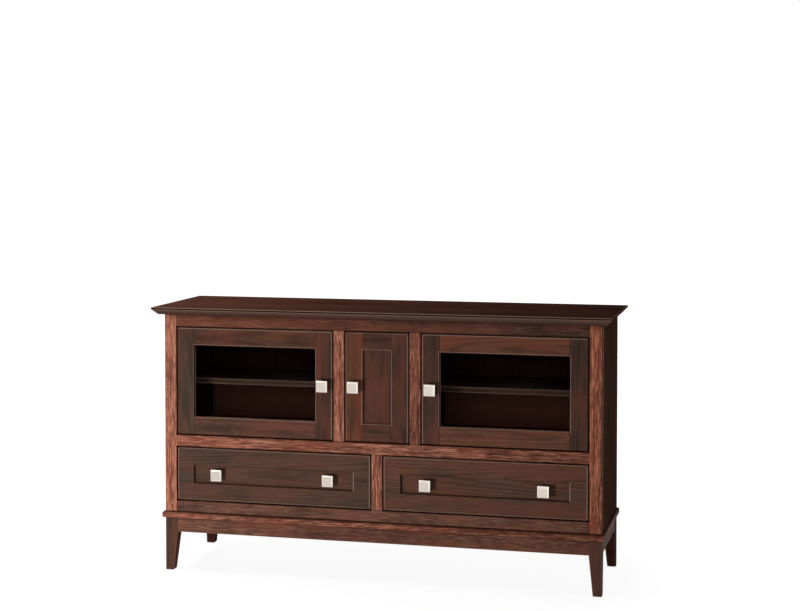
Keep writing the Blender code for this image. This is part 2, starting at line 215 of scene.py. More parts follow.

# Colours are sRGB. The grain takes the stain from dark over body to light, edge is rubbed wood and
# painted light on edges, and flush a reddish cast over flushShare of it. Then come the strengths of
# the grain's layers, and the gloss and depth of the surface.
woods = {
    "frame": {
        "dark": (56, 31, 24), "body": (112, 70, 56), "light": (206, 140, 114), "edge": (170, 122, 102),
        "flush": (138, 70, 52), "flushShare": 0.3,
        "streaks": 0.95, "flecks": 0.72, "fibre": 0.40, "rings": 0.10, "clouds": 0.5, "pores": 0.45,
        "roughness": 0.44, "specular": 0.004, "bump": 0.35},
    "base": {
        "dark": (50, 33, 27), "body": (92, 62, 51), "light": (146, 104, 86), "edge": (160, 124, 106),
        "flush": (122, 68, 54), "flushShare": 0.4,
        "streaks": 0.6, "flecks": 0.52, "fibre": 0.25, "rings": 0.08, "clouds": 0.7, "pores": 0.3,
        "roughness": 0.44, "specular": 0.004, "bump": 0.3},
    "door": {
        "dark": (44, 32, 26), "body": (76, 55, 46), "light": (116, 84, 70), "edge": (158, 128, 116),
        "flush": (112, 64, 52), "flushShare": 0.5,
        "streaks": 0.29, "flecks": 0.20, "fibre": 0.10, "rings": 0.20, "clouds": 0.28, "pores": 0.15,
        "roughness": 0.42, "specular": 0.004, "bump": 0.2},
    "top": {
        "dark": (38, 21, 17), "body": (66, 39, 32), "light": (102, 62, 50), "edge": (144, 120, 106),
        "flush": (88, 48, 37), "flushShare": 0.3,
        "streaks": 0.6, "flecks": 0.24, "fibre": 0.10, "rings": 0.20, "clouds": 0.3, "pores": 0.2,
        "roughness": 0.50, "specular": 0.0, "bump": 0.2},
    # Painted shade: the case wood is a darker finish for the inside of the case, where shade falls
    "case": {
        "dark": (38, 21, 16), "body": (66, 39, 31), "light": (98, 62, 50), "edge": (126, 106, 96),
        "flush": (84, 44, 34), "flushShare": 0.3,
        "streaks": 0.5, "flecks": 0.24, "fibre": 0.10, "rings": 0.15, "clouds": 0.3, "pores": 0.2,
        "roughness": 0.55, "specular": 0.004, "bump": 0.2},
    "drawerBox": {
        "dark": (170, 130, 88), "body": (204, 168, 124), "light": (226, 196, 158), "edge": (214, 182, 140),
        "flush": (206, 158, 112), "flushShare": 0.3,
        "streaks": 0.5, "flecks": 0.26, "fibre": 0.16, "rings": 0.40, "clouds": 0.3, "pores": 0.15,
        "roughness": 0.48, "specular": 0.3, "bump": 0.2}}
woods["side"] = {**woods["door"], "clouds": 0.22, "flushShare": 0.34, "specular": 0.0}
# The back's inner face: its edge colour is the painted light below the shelves
woods["lining"] = {**woods["case"], "edge": (138, 85, 73), "flushShare": 0.6}

# The layers of the grain: how finely each is drawn along, across and through the tree, then the
# detail, roughness and distortion of its noise. Those with limits are spread from 0 to 1 between them.
woodGrain = {
    "streaks": ((2.2, 130.0, 130.0), 5.0, 0.62, 0.5),
    "flecks": ((22.0, 420.0, 420.0), 3.0, 0.55, 0.6),
    "fibre": ((40.0, 1300.0, 1300.0), 2.0),
    "clouds": ((5.0, 9.0, 9.0), 3.0),
    "flush": ((5.0, 18.0, 18.0), 3.0),
    "pores": ((70.0, 1100.0, 1100.0), 2.0),
    "warp": ((1.6, 11.0, 11.0), 2.0)}
grainLimits = {"flecks": (0.34, 0.66), "fibre": (0.30, 0.70), "flush": (0.42, 0.62), "pores": (0.60, 0.72)}
woodSurface = {
    "ringSpacing": 0.0065, "ringWarp": 0.016, "ringSharpness": 3.0, "rubbedAndLitShare": 0.7,
    "depth": 0.0004, "fleckHeight": 0.2, "fibreHeight": 0.2, "poreHeight": 0.6, "ringHeight": 0.2,
    "streakGloss": 0.16, "poreGloss": 0.15}


def makeWood(name, look):
    material, sheet = newMaterial(name)
    place = sheet.attribute("grain", "Vector")
    tone, edge, warmth = [sheet.attribute(layer) for layer in ("tone", "edge", "warmth")]
    layers = {layer: sheet.noise(place, *settings) for layer, settings in woodGrain.items()}
    for layer, limits in grainLimits.items():
        layers[layer] = layers[layer].between(*limits)
    streaks, flecks, fibre, clouds, flush, pores, warp = layers.values()
    section = sheet.stretched(place, (0.0, 1.0, 1.0))
    fromPith = sheet.add("ShaderNodeVectorMath", {"operation": "LENGTH"}, {0: section}, "Value")
    wander = (warp - 0.5) * woodSurface["ringWarp"]
    turns = (fromPith + wander) * (2 * math.pi / woodSurface["ringSpacing"])
    rings = (turns.sine() * 0.5 + 0.5) ** woodSurface["ringSharpness"]

    shade = tone + (streaks - 0.5) * look["streaks"] + (flecks - 0.5) * look["flecks"]
    shade = shade + (fibre - 0.5) * look["fibre"] + (clouds - 0.5) * look["clouds"] - rings * look["rings"]
    dark, body, light, rubbedAndLitWood, flushed = [
        fromSrgb(*look[colour]) for colour in ("dark", "body", "light", "edge", "flush")]
    stain = sheet.add("ShaderNodeValToRGB", {"stops": [(0.0, dark), (0.5, body), (1.0, light)]},
                      {"Fac": shade}, "Color")
    stain = sheet.blend(flush * look["flushShare"], stain, flushed)
    stain = sheet.blend(warmth.largest(0.0), stain, warmTint, "MULTIPLY")
    stain = sheet.blend((warmth * -1.0).largest(0.0), stain, ashTint, "MULTIPLY")
    stain = sheet.blend(pores * look["pores"], stain, dark)
    # An edge above 0 is painted lighter, as rubbed wear and painted light; from 0 to -1 it is painted
    # darker as painted shade, and from -1 to -2 darker still, towards the painted gap shade colour
    stain = sheet.blend(edge.largest(0.0) * woodSurface["rubbedAndLitShare"], stain, rubbedAndLitWood)
    stain = sheet.blend((edge * -1.0).largest(0.0), stain, dark)
    stain = sheet.blend((edge * -1.0 - 1.0).largest(0.0), stain, fromSrgb(*gapShadeColour))
    height = (flecks * woodSurface["fleckHeight"] + fibre * woodSurface["fibreHeight"]
              - pores * woodSurface["poreHeight"] - rings * woodSurface["ringHeight"])
    gloss = (look["roughness"] + (streaks - 0.5) * woodSurface["streakGloss"]
             + pores * woodSurface["poreGloss"])
    sheet.cover(sheet.add("ShaderNodeBsdfPrincipled", {}, {
        "Base Color": stain, "Roughness": gloss, "Specular IOR Level": look["specular"],
        "Normal": sheet.bump(look["bump"], woodSurface["depth"], height)}))
    return material


woodMaterials = {name: makeWood(name + "Wood", look) for name, look in woods.items()}


# Metal, glass and plastic. Noise is given as for the grain, here along x, y and z.

nickel = {
    "rim": (238, 230, 220), "face": (214, 202, 192), "pivots": (62, 55, 50), "darker": 30,
    "roughness": 0.34, "pivotRoughness": 0.68, "brushing": 0.10, "depth": 0.0001,
    "strokes": ((5200.0, 900.0, 60.0), 3.0, 0.6), "strokeShade": 0.5, "shade": 0.2, "strokeGloss": 0.18,
    "smudges": ((70.0, 70.0, 70.0), 2.0), "smudgeGloss": 0.12}
glass = {"tint": (246, 250, 248), "bend": 1.0}
plastic = {
    "dark": (26, 23, 22), "light": (38, 34, 32), "grain": ((1300.0, 1300.0, 1300.0), 2.0),
    "limits": (0.35, 0.65), "roughness": 0.5, "grainGloss": 0.2, "bump": 0.3, "depth": 0.0002}


def makeNickel(name, colour, roughness=nickel["roughness"]):
    material, sheet = newMaterial(name)
    place = sheet.add("ShaderNodeTexCoord", output="Object")
    strokes = sheet.noise(place, *nickel["strokes"])
    smudges = sheet.noise(place, *nickel["smudges"])
    darker = fromSrgb(*[level - nickel["darker"] for level in colour])
    tint = sheet.blend((strokes - 0.5) * nickel["strokeShade"] + nickel["shade"], fromSrgb(*colour), darker)
    gloss = roughness + (strokes - 0.5) * nickel["strokeGloss"] + (smudges - 0.5) * nickel["smudgeGloss"]
    sheet.cover(sheet.add("ShaderNodeBsdfPrincipled", {}, {
        "Base Color": tint, "Metallic": 1.0, "Roughness": gloss,
        "Normal": sheet.bump(nickel["brushing"], nickel["depth"], strokes)}))
    return material


# Lets the lamps' light straight through, so the shelves behind it are lit
def makeGlass():
    material, sheet = newMaterial("paneGlass")
    tint = fromSrgb(*glass["tint"])
    shader = sheet.add("ShaderNodeBsdfPrincipled", {}, {
        "Base Color": tint, "Roughness": 0.0, "IOR": glass["bend"], "Transmission Weight": 1.0})
    clear = sheet.add("ShaderNodeBsdfTransparent", {}, {"Color": tint})
    lampRay = sheet.add("ShaderNodeLightPath", output="Is Shadow Ray")
    sheet.cover(sheet.add("ShaderNodeMixShader", {}, {0: lampRay, 1: shader, 2: clear}))
    return material


def makePlastic():
    material, sheet = newMaterial("darkPlastic")
    grain = sheet.noise(sheet.add("ShaderNodeTexCoord", output="Object"), *plastic["grain"])
    colour = sheet.blend(
        grain.between(*plastic["limits"]), fromSrgb(*plastic["dark"]), fromSrgb(*plastic["light"]))
    sheet.cover(sheet.add("ShaderNodeBsdfPrincipled", {}, {
        "Base Color": colour, "Roughness": plastic["roughness"] + (grain - 0.5) * plastic["grainGloss"],
        "Normal": sheet.bump(plastic["bump"], plastic["depth"], grain)}))
    return material


nickelMaterial = makeNickel("satinNickel", nickel["rim"])
brushedMaterial = makeNickel("brushedNickel", nickel["face"])
pivotMaterial = makeNickel("darkenedSteel", nickel["pivots"], nickel["pivotRoughness"])
glassMaterial = makeGlass()
plasticMaterial = makePlastic()
print("materials:", len(bpy.data.materials))


# Pieces

def toMesh(shape, name, materials=()):
    mesh = bpy.data.meshes.new(name)
    shape.to_mesh(mesh)
    shape.free()
    for material in materials:
        mesh.materials.append(material)
    return mesh


def addPiece(name, mesh, body, slot, stands):
    piece = newObject(name, mesh)
    if stands:
        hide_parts(*stands)
    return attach(piece, body)


# Adds a shape as a piece with even shading over its softened edges
def addShape(name, shape, materials, body, slot=None, stands=()):
    piece = addPiece(name, toMesh(shape, name, materials), body, slot, stands)
    piece.data.shade_smooth()
    piece.modifiers.new("even shading", "WEIGHTED_NORMAL").keep_sharp = True


def weldedCopy(node):
    shape = bmesh.new()
    shape.from_mesh(frame["nodes"][node].data)
    bmesh.ops.remove_doubles(shape, verts=shape.verts, dist=weldDistance)
    bmesh.ops.dissolve_limit(
        shape, angle_limit=math.radians(flatWithin), verts=shape.verts, edges=shape.edges)
    return shape


def easeEdges(shape, width, faces=None):
    chosen = [edge for edge in shape.edges if len(edge.link_faces) == 2
              and edge.calc_face_angle() > math.radians(sharpFrom)
              and (faces is None or all(face in faces for face in edge.link_faces))]
    bmesh.ops.bevel(
        shape, geom=chosen, offset=width, offset_type="OFFSET", segments=roundSteps, profile=0.5,
        affect="EDGES", clamp_overlap=True)


# Cuts the faces where the shape crosses a level on an axis
def cutAcross(shape, axis, level):
    point, normal = Vector((0, 0, 0)), Vector((0, 0, 0))
    point[axis], normal[axis] = level, 1
    bmesh.ops.bisect_plane(
        shape, geom=shape.verts[:] + shape.edges[:] + shape.faces[:], plane_co=point, plane_no=normal)


# A straight bar with the outline given in the two other axes
def prism(shape, outline, axis, low, high):
    others = [other for other in range(3) if other != axis]
    rings = []
    for level in (low, high):
        ring = []
        for point in outline:
            corner = Vector((0, 0, 0))
            corner[axis] = level
            corner[others[0]], corner[others[1]] = point
            ring.append(shape.verts.new(corner))
        rings.append(ring)
    faces = [shape.faces.new(rings[0]), shape.faces.new(rings[1][::-1])]
    for index in range(len(outline)):
        after = (index + 1) % len(outline)
        faces.append(shape.faces.new((
            rings[0][after], rings[0][index], rings[1][index], rings[1][after])))
    bmesh.ops.recalc_face_normals(shape, faces=faces)


def block(shape, low, high):
    outline = ((low[0], low[1]), (high[0], low[1]), (high[0], high[1]), (low[0], high[1]))
    prism(shape, outline, 2, low[2], high[2])


def newBlock(low, high):
    shape = bmesh.new()
    block(shape, low, high)
    return shape


# Rings of equal count, one above the other along z, closed at both ends
def loft(shape, rings):
    levels = []
    for height, points in rings:
        levels.append([shape.verts.new((x, y, height)) for x, y in points])
    count = len(levels[0])
    for lower, upper in zip(levels, levels[1:]):
        for index in range(count):
            after = (index + 1) % count
            shape.faces.new((lower[index], lower[after], upper[after], upper[index]))
    shape.faces.new(levels[0][::-1])
    shape.faces.new(levels[-1])


def roundRing(radius, count):
    return [(radius * math.cos(2 * math.pi * (step + 0.5) / count),
             radius * math.sin(2 * math.pi * (step + 0.5) / count)) for step in range(count)]


def squareRing(half, corner, steps):
    ring = []
    for quarter in range(4):
        angle = math.pi / 2 * quarter
        centreX = (half - corner) * (1 if quarter in (0, 3) else -1)
        centreY = (half - corner) * (1 if quarter in (0, 1) else -1)
        for step in range(steps):
            swing = angle + math.pi / 2 * step / (steps - 1)
            ring.append((centreX + corner * math.cos(swing), centreY + corner * math.sin(swing)))
    return ring


# Geometry Nodes trees: each has named inputs for its sizes

def newTree(name, inputs):
    tree = bpy.data.node_groups.new(name, "GeometryNodeTree")
    tree.is_modifier = True
    tree.interface.new_socket("Geometry", in_out="INPUT", socket_type="NodeSocketGeometry")
    for label, kind in inputs.items():
        tree.interface.new_socket(label, in_out="INPUT", socket_type="NodeSocket" + kind)
    tree.interface.new_socket("Geometry", in_out="OUTPUT", socket_type="NodeSocketGeometry")
    sheet = Sheet(tree)
    entry = sheet.add("NodeGroupInput").socket.node
    return sheet, {socket.name: Wire(sheet, socket) for socket in entry.outputs if socket.name}


def closeTree(sheet, geometry, material):
    realized = sheet.add("GeometryNodeRealizeInstances", {}, {0: geometry})
    covered = sheet.add("GeometryNodeSetMaterial", {}, {"Geometry": realized, "Material": material})
    sheet.add("NodeGroupOutput", {}, {0: covered})
    return sheet.tree


# A strip of rectangular section along a path of edges; across is the side that keeps its direction
def stripTree():
    sheet, entry = newTree("strip along a path", {
        "Width": "Float", "Depth": "Float", "Rounding": "Float", "Across": "Vector", "Material": "Material"})
    path = sheet.add("GeometryNodeMeshToCurve", {}, {0: entry["Geometry"]})
    path = sheet.add("GeometryNodeSetCurveNormal", {"mode": "FREE"}, {0: path, 2: entry["Across"]})
    section = sheet.add("GeometryNodeCurvePrimitiveQuadrilateral", {}, {0: entry["Depth"], 1: entry["Width"]})
    section = sheet.add("GeometryNodeFilletCurve", {"mode": "POLY"}, {
        "Curve": section, "Count": roundSteps, "Radius": entry["Rounding"], "Limit Radius": True})
    strip = sheet.add("GeometryNodeCurveToMesh", {}, {
        "Curve": path, "Profile Curve": section, "Fill Caps": True})
    return closeTree(sheet, strip, entry["Material"])


def facingTurn(sheet):
    facing = sheet.add("GeometryNodeInputNamedAttribute", {"data_type": "FLOAT_VECTOR"}, {"Name": "facing"})
    return sheet.add("FunctionNodeAlignRotationToVector", {"axis": "Z"}, {"Vector": facing})


# The same small part at every point, its z along the point's facing
def fastenerTree():
    sheet, entry = newTree("fasteners on points", {"Part": "Object", "Material": "Material"})
    part = sheet.add("GeometryNodeObjectInfo", {}, {"Object": entry["Part"]}, "Geometry")
    parts = sheet.add("GeometryNodeInstanceOnPoints", {}, {
        "Points": entry["Geometry"], "Instance": part, "Rotation": facingTurn(sheet)})
    return closeTree(sheet, parts, entry["Material"])


boreSides = 16


# Bored holes, one at every point, square to its facing; half of each bit lies outside the face
def holesTree():
    sheet, entry = newTree("bored holes", {
        "Places": "Object", "Radius": "Float", "Depth": "Float", "Material": "Material"})
    places = sheet.add("GeometryNodeObjectInfo", {}, {"Object": entry["Places"]}, "Geometry")
    bit = sheet.add("GeometryNodeMeshCylinder", {}, {
        "Vertices": boreSides, "Radius": entry["Radius"], "Depth": entry["Depth"] * 2.0})
    bits = sheet.add("GeometryNodeInstanceOnPoints", {}, {
        "Points": places, "Instance": bit, "Rotation": facingTurn(sheet)})
    bits = sheet.add("GeometryNodeRealizeInstances", {}, {0: bits})
    bored = sheet.add("GeometryNodeMeshBoolean", {"operation": "DIFFERENCE", "solver": "EXACT"}, {
        "Mesh 1": entry["Geometry"], "Mesh 2": bits})
    return closeTree(sheet, bored, entry["Material"])


strips = stripTree()
fasteners = fastenerTree()
holes = holesTree()


def grown(mesh, tree, values):
    item = newObject("growing", mesh)
    modifier = item.modifiers.new("growing", "NODES")
    modifier.node_group = tree
    for socket in tree.interface.items_tree:
        if socket.in_out == "INPUT" and socket.name in values:
            modifier[socket.identifier] = values[socket.name]
    graph = bpy.context.evaluated_depsgraph_get()
    result = bpy.data.meshes.new_from_object(item.evaluated_get(graph))
    item.modifiers.clear()
    bpy.data.objects.remove(item)
    return result


def pointMesh(places):
    mesh = bpy.data.meshes.new("places")
    mesh.from_pydata([place for place, away in places], [], [])
    attribute = mesh.attributes.new("facing", "FLOAT_VECTOR", "POINT")
    for item, (place, away) in zip(attribute.data, places):
        item.vector = away
    return mesh


def pathMesh(points):
    mesh = bpy.data.meshes.new("path")
    mesh.from_pydata(points, [(index, (index + 1) % len(points)) for index in range(len(points))], [])
    return mesh


# Small parts: a master is lofted through stacks of rings, its tree repeats it, and it goes at the end
masters = []
creaseFrom = 35          # degrees, edges of a small part that turn by more stay crisp


def makeMaster(name, *stacks):
    shape = bmesh.new()
    for rings in stacks:
        loft(shape, rings)
    bmesh.ops.recalc_face_normals(shape, faces=shape.faces)
    masters.append(newObject(name + " master", toMesh(shape, name)))
    return masters[-1]


def placedParts(name, master, places, body, slot, material, stands=()):
    mesh = grown(pointMesh(places), fasteners, {"Part": master, "Material": material})
    mesh.name = name
    mesh.shade_smooth()
    mesh.set_sharp_from_angle(angle=math.radians(creaseFrom))
    addPiece(name, mesh, body, slot, stands)


# Where a board lay in its tree: along is the axis of its grain, and the pith is behind its face
trunk = {"along": (3.0, 60.0), "across": 0.3, "behind": (0.05, 0.09), "leastTip": 0.4}


def treePlace(low, high, along, picker, slant):
    size = high - low
    across, through = sorted((axis for axis in range(3) if axis != along), key=lambda axis: -size[axis])
    turn = Matrix.Diagonal((0.0, 0.0, 0.0))
    turn[0][along] = turn[1][across] = turn[2][through] = 1.0
    swing = Matrix.Rotation(math.radians(picker.uniform(-slant, slant)), 3, "Z")
    tip = Matrix.Rotation(
        math.radians(picker.choice((-1, 1)) * picker.uniform(trunk["leastTip"], 1.0) * slant), 3, "Y")
    heart = Vector((
        picker.uniform(*trunk["along"]), picker.uniform(-trunk["across"], trunk["across"]) * size[across],
        picker.uniform(*trunk["behind"])))
    return (low + high) / 2, swing @ tip @ turn, heart


def grainLayers(shape):
    layers = shape.loops.layers
    return [layers.float_vector.get("grain") or layers.float_vector.new("grain")] + [
        layers.float.get(name) or layers.float.new(name) for name in ("tone", "edge", "warmth")]


wornWidth = 0.0034       # faces slimmer than this are softened edges


def paintBoard(shape, faces, place, tone, wearAndShade=1.0, lightFalloff=0.0, warmth=0.0, cooling=0.0):
    grain, tones, edges, warmths = grainLayers(shape)
    middle, turn, heart = place
    for face in faces:
        slimness = 2 * face.calc_area() / max(face.calc_perimeter(), weldDistance)
        # Wear above 0 lightens the softened edges as rubbed wear, below 0 darkens them as painted shade
        edgeWearAndShade = wearAndShade if slimness < wornWidth else 0.0
        for loop in face.loops:
            loop[grain] = turn @ (loop.vert.co - middle) + heart
            # Painted light falloff: the tone drops towards the right
            loop[tones] = tone - lightFalloff * loop.vert.co.x
            loop[edges] = edgeWearAndShade
            loop[warmths] = warmth - cooling * loop.vert.co.x


# Cuts the faces of a board along the lines of a rectangle in the front plane
def scoreLines(shape, rectangle):
    (left, low), (right, high) = rectangle
    for axis, level in ((0, left), (0, right), (2, low), (2, high)):
        cutAcross(shape, axis, level)


def inside(rectangle, point):
    (left, low), (right, high) = rectangle
    return left < point.x < right and low < point.z < high


def grownBy(rectangle, width):
    (left, low), (right, high) = rectangle
    return (left - width, low - width), (right + width, high + width)


def nearestSide(rectangle, point):
    (left, low), (right, high) = rectangle
    gaps = {"left": abs(point.x - left), "right": abs(point.x - right),
            "bottom": abs(point.z - low), "top": abs(point.z - high)}
    return min(gaps, key=gaps.get)


# Painted highlights and painted shade, with some rubbed wear, on the chamfers of a door or drawer
# front and in a thin strip beside them: lighter where the share is above 0, darker below 0
def paintArrisWearAndLight(shape, node):
    start, stop = arrisWearAndLight["chamfer"], arrisWearAndLight["chamfer"] + arrisWearAndLight["width"]
    outer, opening, leaf = leafEdges(node)
    bands = ((grownBy(outer, -stop), grownBy(outer, -start), leaf["outer"]),
             (grownBy(opening, start), grownBy(opening, stop), leaf["opening"]))
    chamfers = ((grownBy(outer, -start), grownBy(outer, start), leaf["outer"]),
                (grownBy(opening, -start), grownBy(opening, start), leaf["flare"]))
    for small, large, shares in bands:
        scoreLines(shape, small)
        scoreLines(shape, large)
    edges = grainLayers(shape)[2]
    for face in shape.faces:
        point = face.calc_center_median()
        if face.normal.y > -turnedTo:
            continue
        flat = face.normal.y < -squareTo
        for small, large, shares in bands if flat else chamfers:
            if inside(large, point) and not inside(small, point):
                for loop in face.loops:
                    loop[edges] = shares.get(nearestSide(small, point), 0.0 if flat else arrisWearAndLight["shaded"])


# Painted shade under an overhang: the edge share changes downwards from the upper end of a board, where
# another one overhangs it
def paintShadeUnder(shape, level, depth, share):
    cutAcross(shape, 2, level - depth)
    edges = grainLayers(shape)[2]
    for face in shape.faces:
        if face.calc_center_median().z > level - depth:
            for loop in face.loops:
                loop[edges] += share * (1 - (level - loop.vert.co.z) / depth)


shadedGapSides = {"facing": 0.7, "margin": 0.05}     # they look less to the front, and lie this far from the ends


# Painted shade on the sides of boards that face a gap
def paintGapShade(shape, share):
    edges = grainLayers(shape)[2]
    first, last = cadBox[0][0] + shadedGapSides["margin"], cadBox[1][0] - shadedGapSides["margin"]
    for face in shape.faces:
        if abs(face.normal.y) < shadedGapSides["facing"] and first < face.calc_center_median().x < last:
            for loop in face.loops:
                loop[edges] = share


# Boards that are as the CAD has them, with softened edges and a place in the tree. A tone is how
# light the stain came out on a board, from 0 to 1. Wear lightens the softened edges as rubbed wear
# above 0 and darkens them as painted shade below 0, gaps darkens the sides in a gap as painted shade,
# and rubbed boards get painted highlights, painted shade and some wear on their arrises. Under is the
# node that overhangs, with the depth and share of the painted shade under it. Shown is the finish of
# the one side that shownSides gives. Fade and cooling are how much the tone and the warmth drop for
# each metre to the right; the drop in tone is painted light falloff.

plainBoard = {
    "slot": "frame_wood", "wood": "base", "wearAndShade": 0.0, "lightFalloff": 0.0, "warmth": 0.0, "cooling": 0.0,
    "soften": 0.0005, "slant": 1.2}
boards = {
    "faceFrame": {
        "wood": "frame", "wearAndShade": -0.9, "gaps": -1.7, "lightFalloff": 0.14, "shadowUnder": ("top", 0.020, -0.6),
        "upright": {
            "face_stile_left": 0.65, "face_stile_right": 0.70, "mullion_left": 0.66, "mullion_right": 0.50,
            "drawer_mullion": 0.64},
        "lengthways": {"face_rail_middle": 0.54}},
    "topRail": {
        "wearAndShade": -0.9, "gaps": -1.7, "lightFalloff": 0.19, "cooling": 1.0, "shadowUnder": ("top", 0.020, -0.6),
        "lengthways": {"face_rail_top": 0.41}},
    "bottomRail": {
        "wearAndShade": -0.9, "gaps": -1.7, "cooling": -0.2, "lengthways": {"face_rail_bottom": 0.52}},
    "waist": {
        "wood": "frame", "lightFalloff": 0.18, "shadowUnder": ("face_rail_bottom", 0.011, -0.8),
        "lengthways": {"waist_front": 0.50, "waist_rear": 0.50},
        "deepways": {"waist_left": 0.44, "waist_right": 0.60}},
    "base": {
        "wearAndShade": 0.35, "lightFalloff": 0.04, "slant": 1.5, "shadowUnder": ("waist_front", 0.006, -0.8),
        "lengthways": {"apron_front": 0.54, "apron_rear": 0.50},
        "deepways": {"apron_left": 0.50, "apron_right": 0.50,
                     "drawer_guide_left": 0.80, "drawer_guide_right": 0.80}},
    "legs": {
        "slot": "door_wood", "wood": "door", "wearAndShade": 0.3, "slant": 1.0, "shadowUnder": ("waist_front", 0.005, -0.6),
        "upright": {"leg_front_left": 0.55, "leg_front_right": 0.52}},
    # Painted shade: the rear legs take the darker case wood and a low tone
    "rearLegs": {
        "slot": "door_wood", "wood": "case", "wearAndShade": 0.3, "slant": 1.0,
        "upright": {"leg_rear_left": 0.20, "leg_rear_right": 0.20}},
    "doors": {
        "slot": "door_wood", "wood": "door", "wearAndShade": -0.6, "gaps": -0.8, "arrisWearAndLight": True,
        "upright": {
            "door_left_stile_left": 0.53, "door_left_stile_right": 0.39, "door_right_stile_left": 0.38,
            "door_right_stile_right": 0.41, "door_centre_stile_left": 0.58, "door_centre_stile_right": 0.39},
        "lengthways": {
            "door_left_rail_top": 0.51, "door_left_rail_bottom": 0.61, "door_right_rail_top": 0.67,
            "door_right_rail_bottom": 0.73, "door_centre_rail_top": 0.43, "door_centre_rail_bottom": 0.51}},
    "doorPanel": {
        "slot": "door_wood", "wood": "door", "wearAndShade": -0.6, "upright": {"door_centre_panel": 0.43}},
    "drawerFronts": {
        "slot": "door_wood", "wood": "door", "wearAndShade": -0.6, "gaps": -0.7, "arrisWearAndLight": True, "slant": 2.6,
        "lengthways": {"drawer_left_front": 0.57, "drawer_right_front": 0.63}},
    # Painted shade: the inner faces of the sides take the darker case wood, the outer faces the side wood
    "sides": {
        "slot": "case_wood", "wood": "case", "shown": "side", "wearAndShade": 0.3, "soften": 0.0002,
        "upright": {"side_panel_left": 0.50, "side_panel_right": 0.50}},
    "shelves": {
        "slot": "case_wood", "wood": "case", "wearAndShade": 1.0, "warmth": -1.0, "soften": 0.0004, "slant": 2.0,
        "lengthways": {"shelf_left": 0.58, "shelf_centre": 0.55, "shelf_right": 0.52}},
    "inside": {
        "slot": "case_wood", "wood": "case", "soften": 0.0002, "slant": 2.0,
        "upright": {"partition_left": 0.5, "partition_right": 0.5},
        "lengthways": {"bottom_panel": 0.5, "deck": 0.5},
        "deepways": {"drawer_partition": 0.5}},
    "back": {
        "slot": "case_wood", "wood": "case", "shown": "lining", "soften": 0.0002, "slant": 2.0,
        "upright": {"back_panel": 0.95}}}
shownSides = {"side_panel_left": (-1, 0, 0), "side_panel_right": (1, 0, 0), "back_panel": (0, -1, 0)}
grainAxes = {"lengthways": 0, "deepways": 1, "upright": 2}
overhangGap = 0.005      # a board this close under another one is overhung by it

# How warm the stain came out: reddish above 0, ashen below
warmths = {
    "face_stile_left": 0.1, "face_stile_right": 0.5, "mullion_left": 0.1,
    "door_left_stile_left": -1.0, "door_left_rail_top": 0.4,
    "door_right_stile_left": -0.5, "door_right_stile_right": -0.4, "door_right_rail_top": 0.8,
    "door_right_rail_bottom": 0.6, "door_centre_stile_left": 0.9, "door_centre_stile_right": -0.1,
    "door_centre_rail_top": 0.4, "door_centre_panel": 0.1, "drawer_left_front": -0.75,
    "drawer_right_front": -0.12, "face_rail_top": 0.1, "face_rail_bottom": -0.25, "leg_front_left": 0.2}


# Shelf pins in bored rows, and countersunk screws that hold the back panel. A pin's rings are
# height and radius, and its height is from the face of the wall.

shelfWalls = {
    "side_panel_left": (1,), "partition_left": (-1, 1), "partition_right": (-1, 1), "side_panel_right": (-1,)}
shelfPins = {
    "radius": 0.0024, "holeRadius": 0.0026, "holeDepth": 0.008,
    "rows": (-0.048, 0.158), "spacing": 0.032, "steps": (-3, -2, -1, 0, 1, 2, 3),
    "rings": (
        (-0.0070, 0.00216), (-0.0065, 0.0024), (0.0, 0.0024), (0.0001, 0.0041), (0.0010, 0.0041),
        (0.0014, 0.00369), (0.0015, 0.0024), (0.0077, 0.0024), (0.0085, 0.00144)),
    "ringSteps": 16}
backScrews = {
    "head": 0.0034, "height": 0.00112, "holeRadius": 0.0037, "sunk": 0.0014, "spacing": 0.16, "edge": 0.035,
    "levels": (0.58, 0.70, 0.82)}
feet = {
    "raise": 0.002, "sole": 0.004, "ringSteps": 24,
    "rings": ((0.0, 0.0072), (0.00105, 0.0090), (0.0021, 0.0090), (0.0030, 0.0072))}


# The holes in a wall at the given steps from the shelves, each with the way it faces
def pinPlaces(wall, steps):
    low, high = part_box(wall)
    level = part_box("shelf_left")[0].z - shelfPins["radius"] - touching
    return [((high.x if hand > 0 else low.x, y, level + step * shelfPins["spacing"]), (hand, 0, 0))
            for hand in shelfWalls[wall] for y in shelfPins["rows"] for step in steps]


def backScrewPlaces():
    low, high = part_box("back_panel")
    run = high.x - low.x - 2 * backScrews["edge"]
    count = int(run / backScrews["spacing"])
    across = [low.x + backScrews["edge"] + run / count * index for index in range(count + 1)]
    rows = [sum(corner.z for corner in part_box(node)) / 2 for node in ("bottom_panel", "deck")]
    places = [(x, high.y, z) for z in rows for x in across]
    for partition in ("partition_left", "partition_right"):
        x = sum(corner.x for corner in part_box(partition)) / 2
        places += [(x, high.y, z) for z in backScrews["levels"]]
    return [(place, (0, 1, 0)) for place in places]


bored = {wall: (pinPlaces(wall, shelfPins["steps"]), shelfPins["holeRadius"], shelfPins["holeDepth"])
         for wall in shelfWalls}
bored["back_panel"] = (backScrewPlaces(), backScrews["holeRadius"], backScrews["sunk"])


def boredShape(shape, node, material):
    places, radius, depth = bored[node]
    marks = newObject("marks", pointMesh(places))
    mesh = grown(toMesh(shape, "blank", [material]), holes, {
        "Places": marks, "Radius": radius, "Depth": depth, "Material": material})
    bpy.data.objects.remove(marks)
    result = bmesh.new()
    result.from_mesh(mesh)
    for face in result.faces:
        face.material_index = 0
    return result


# Painted shade and painted light on the inner face of the back: darker above the shelves, lighter
# and warmer below them, changing between the two levels
backLightAndShade = {"above": -0.7, "below": 0.95, "warmth": 1.0, "levels": (0.645, 0.664)}


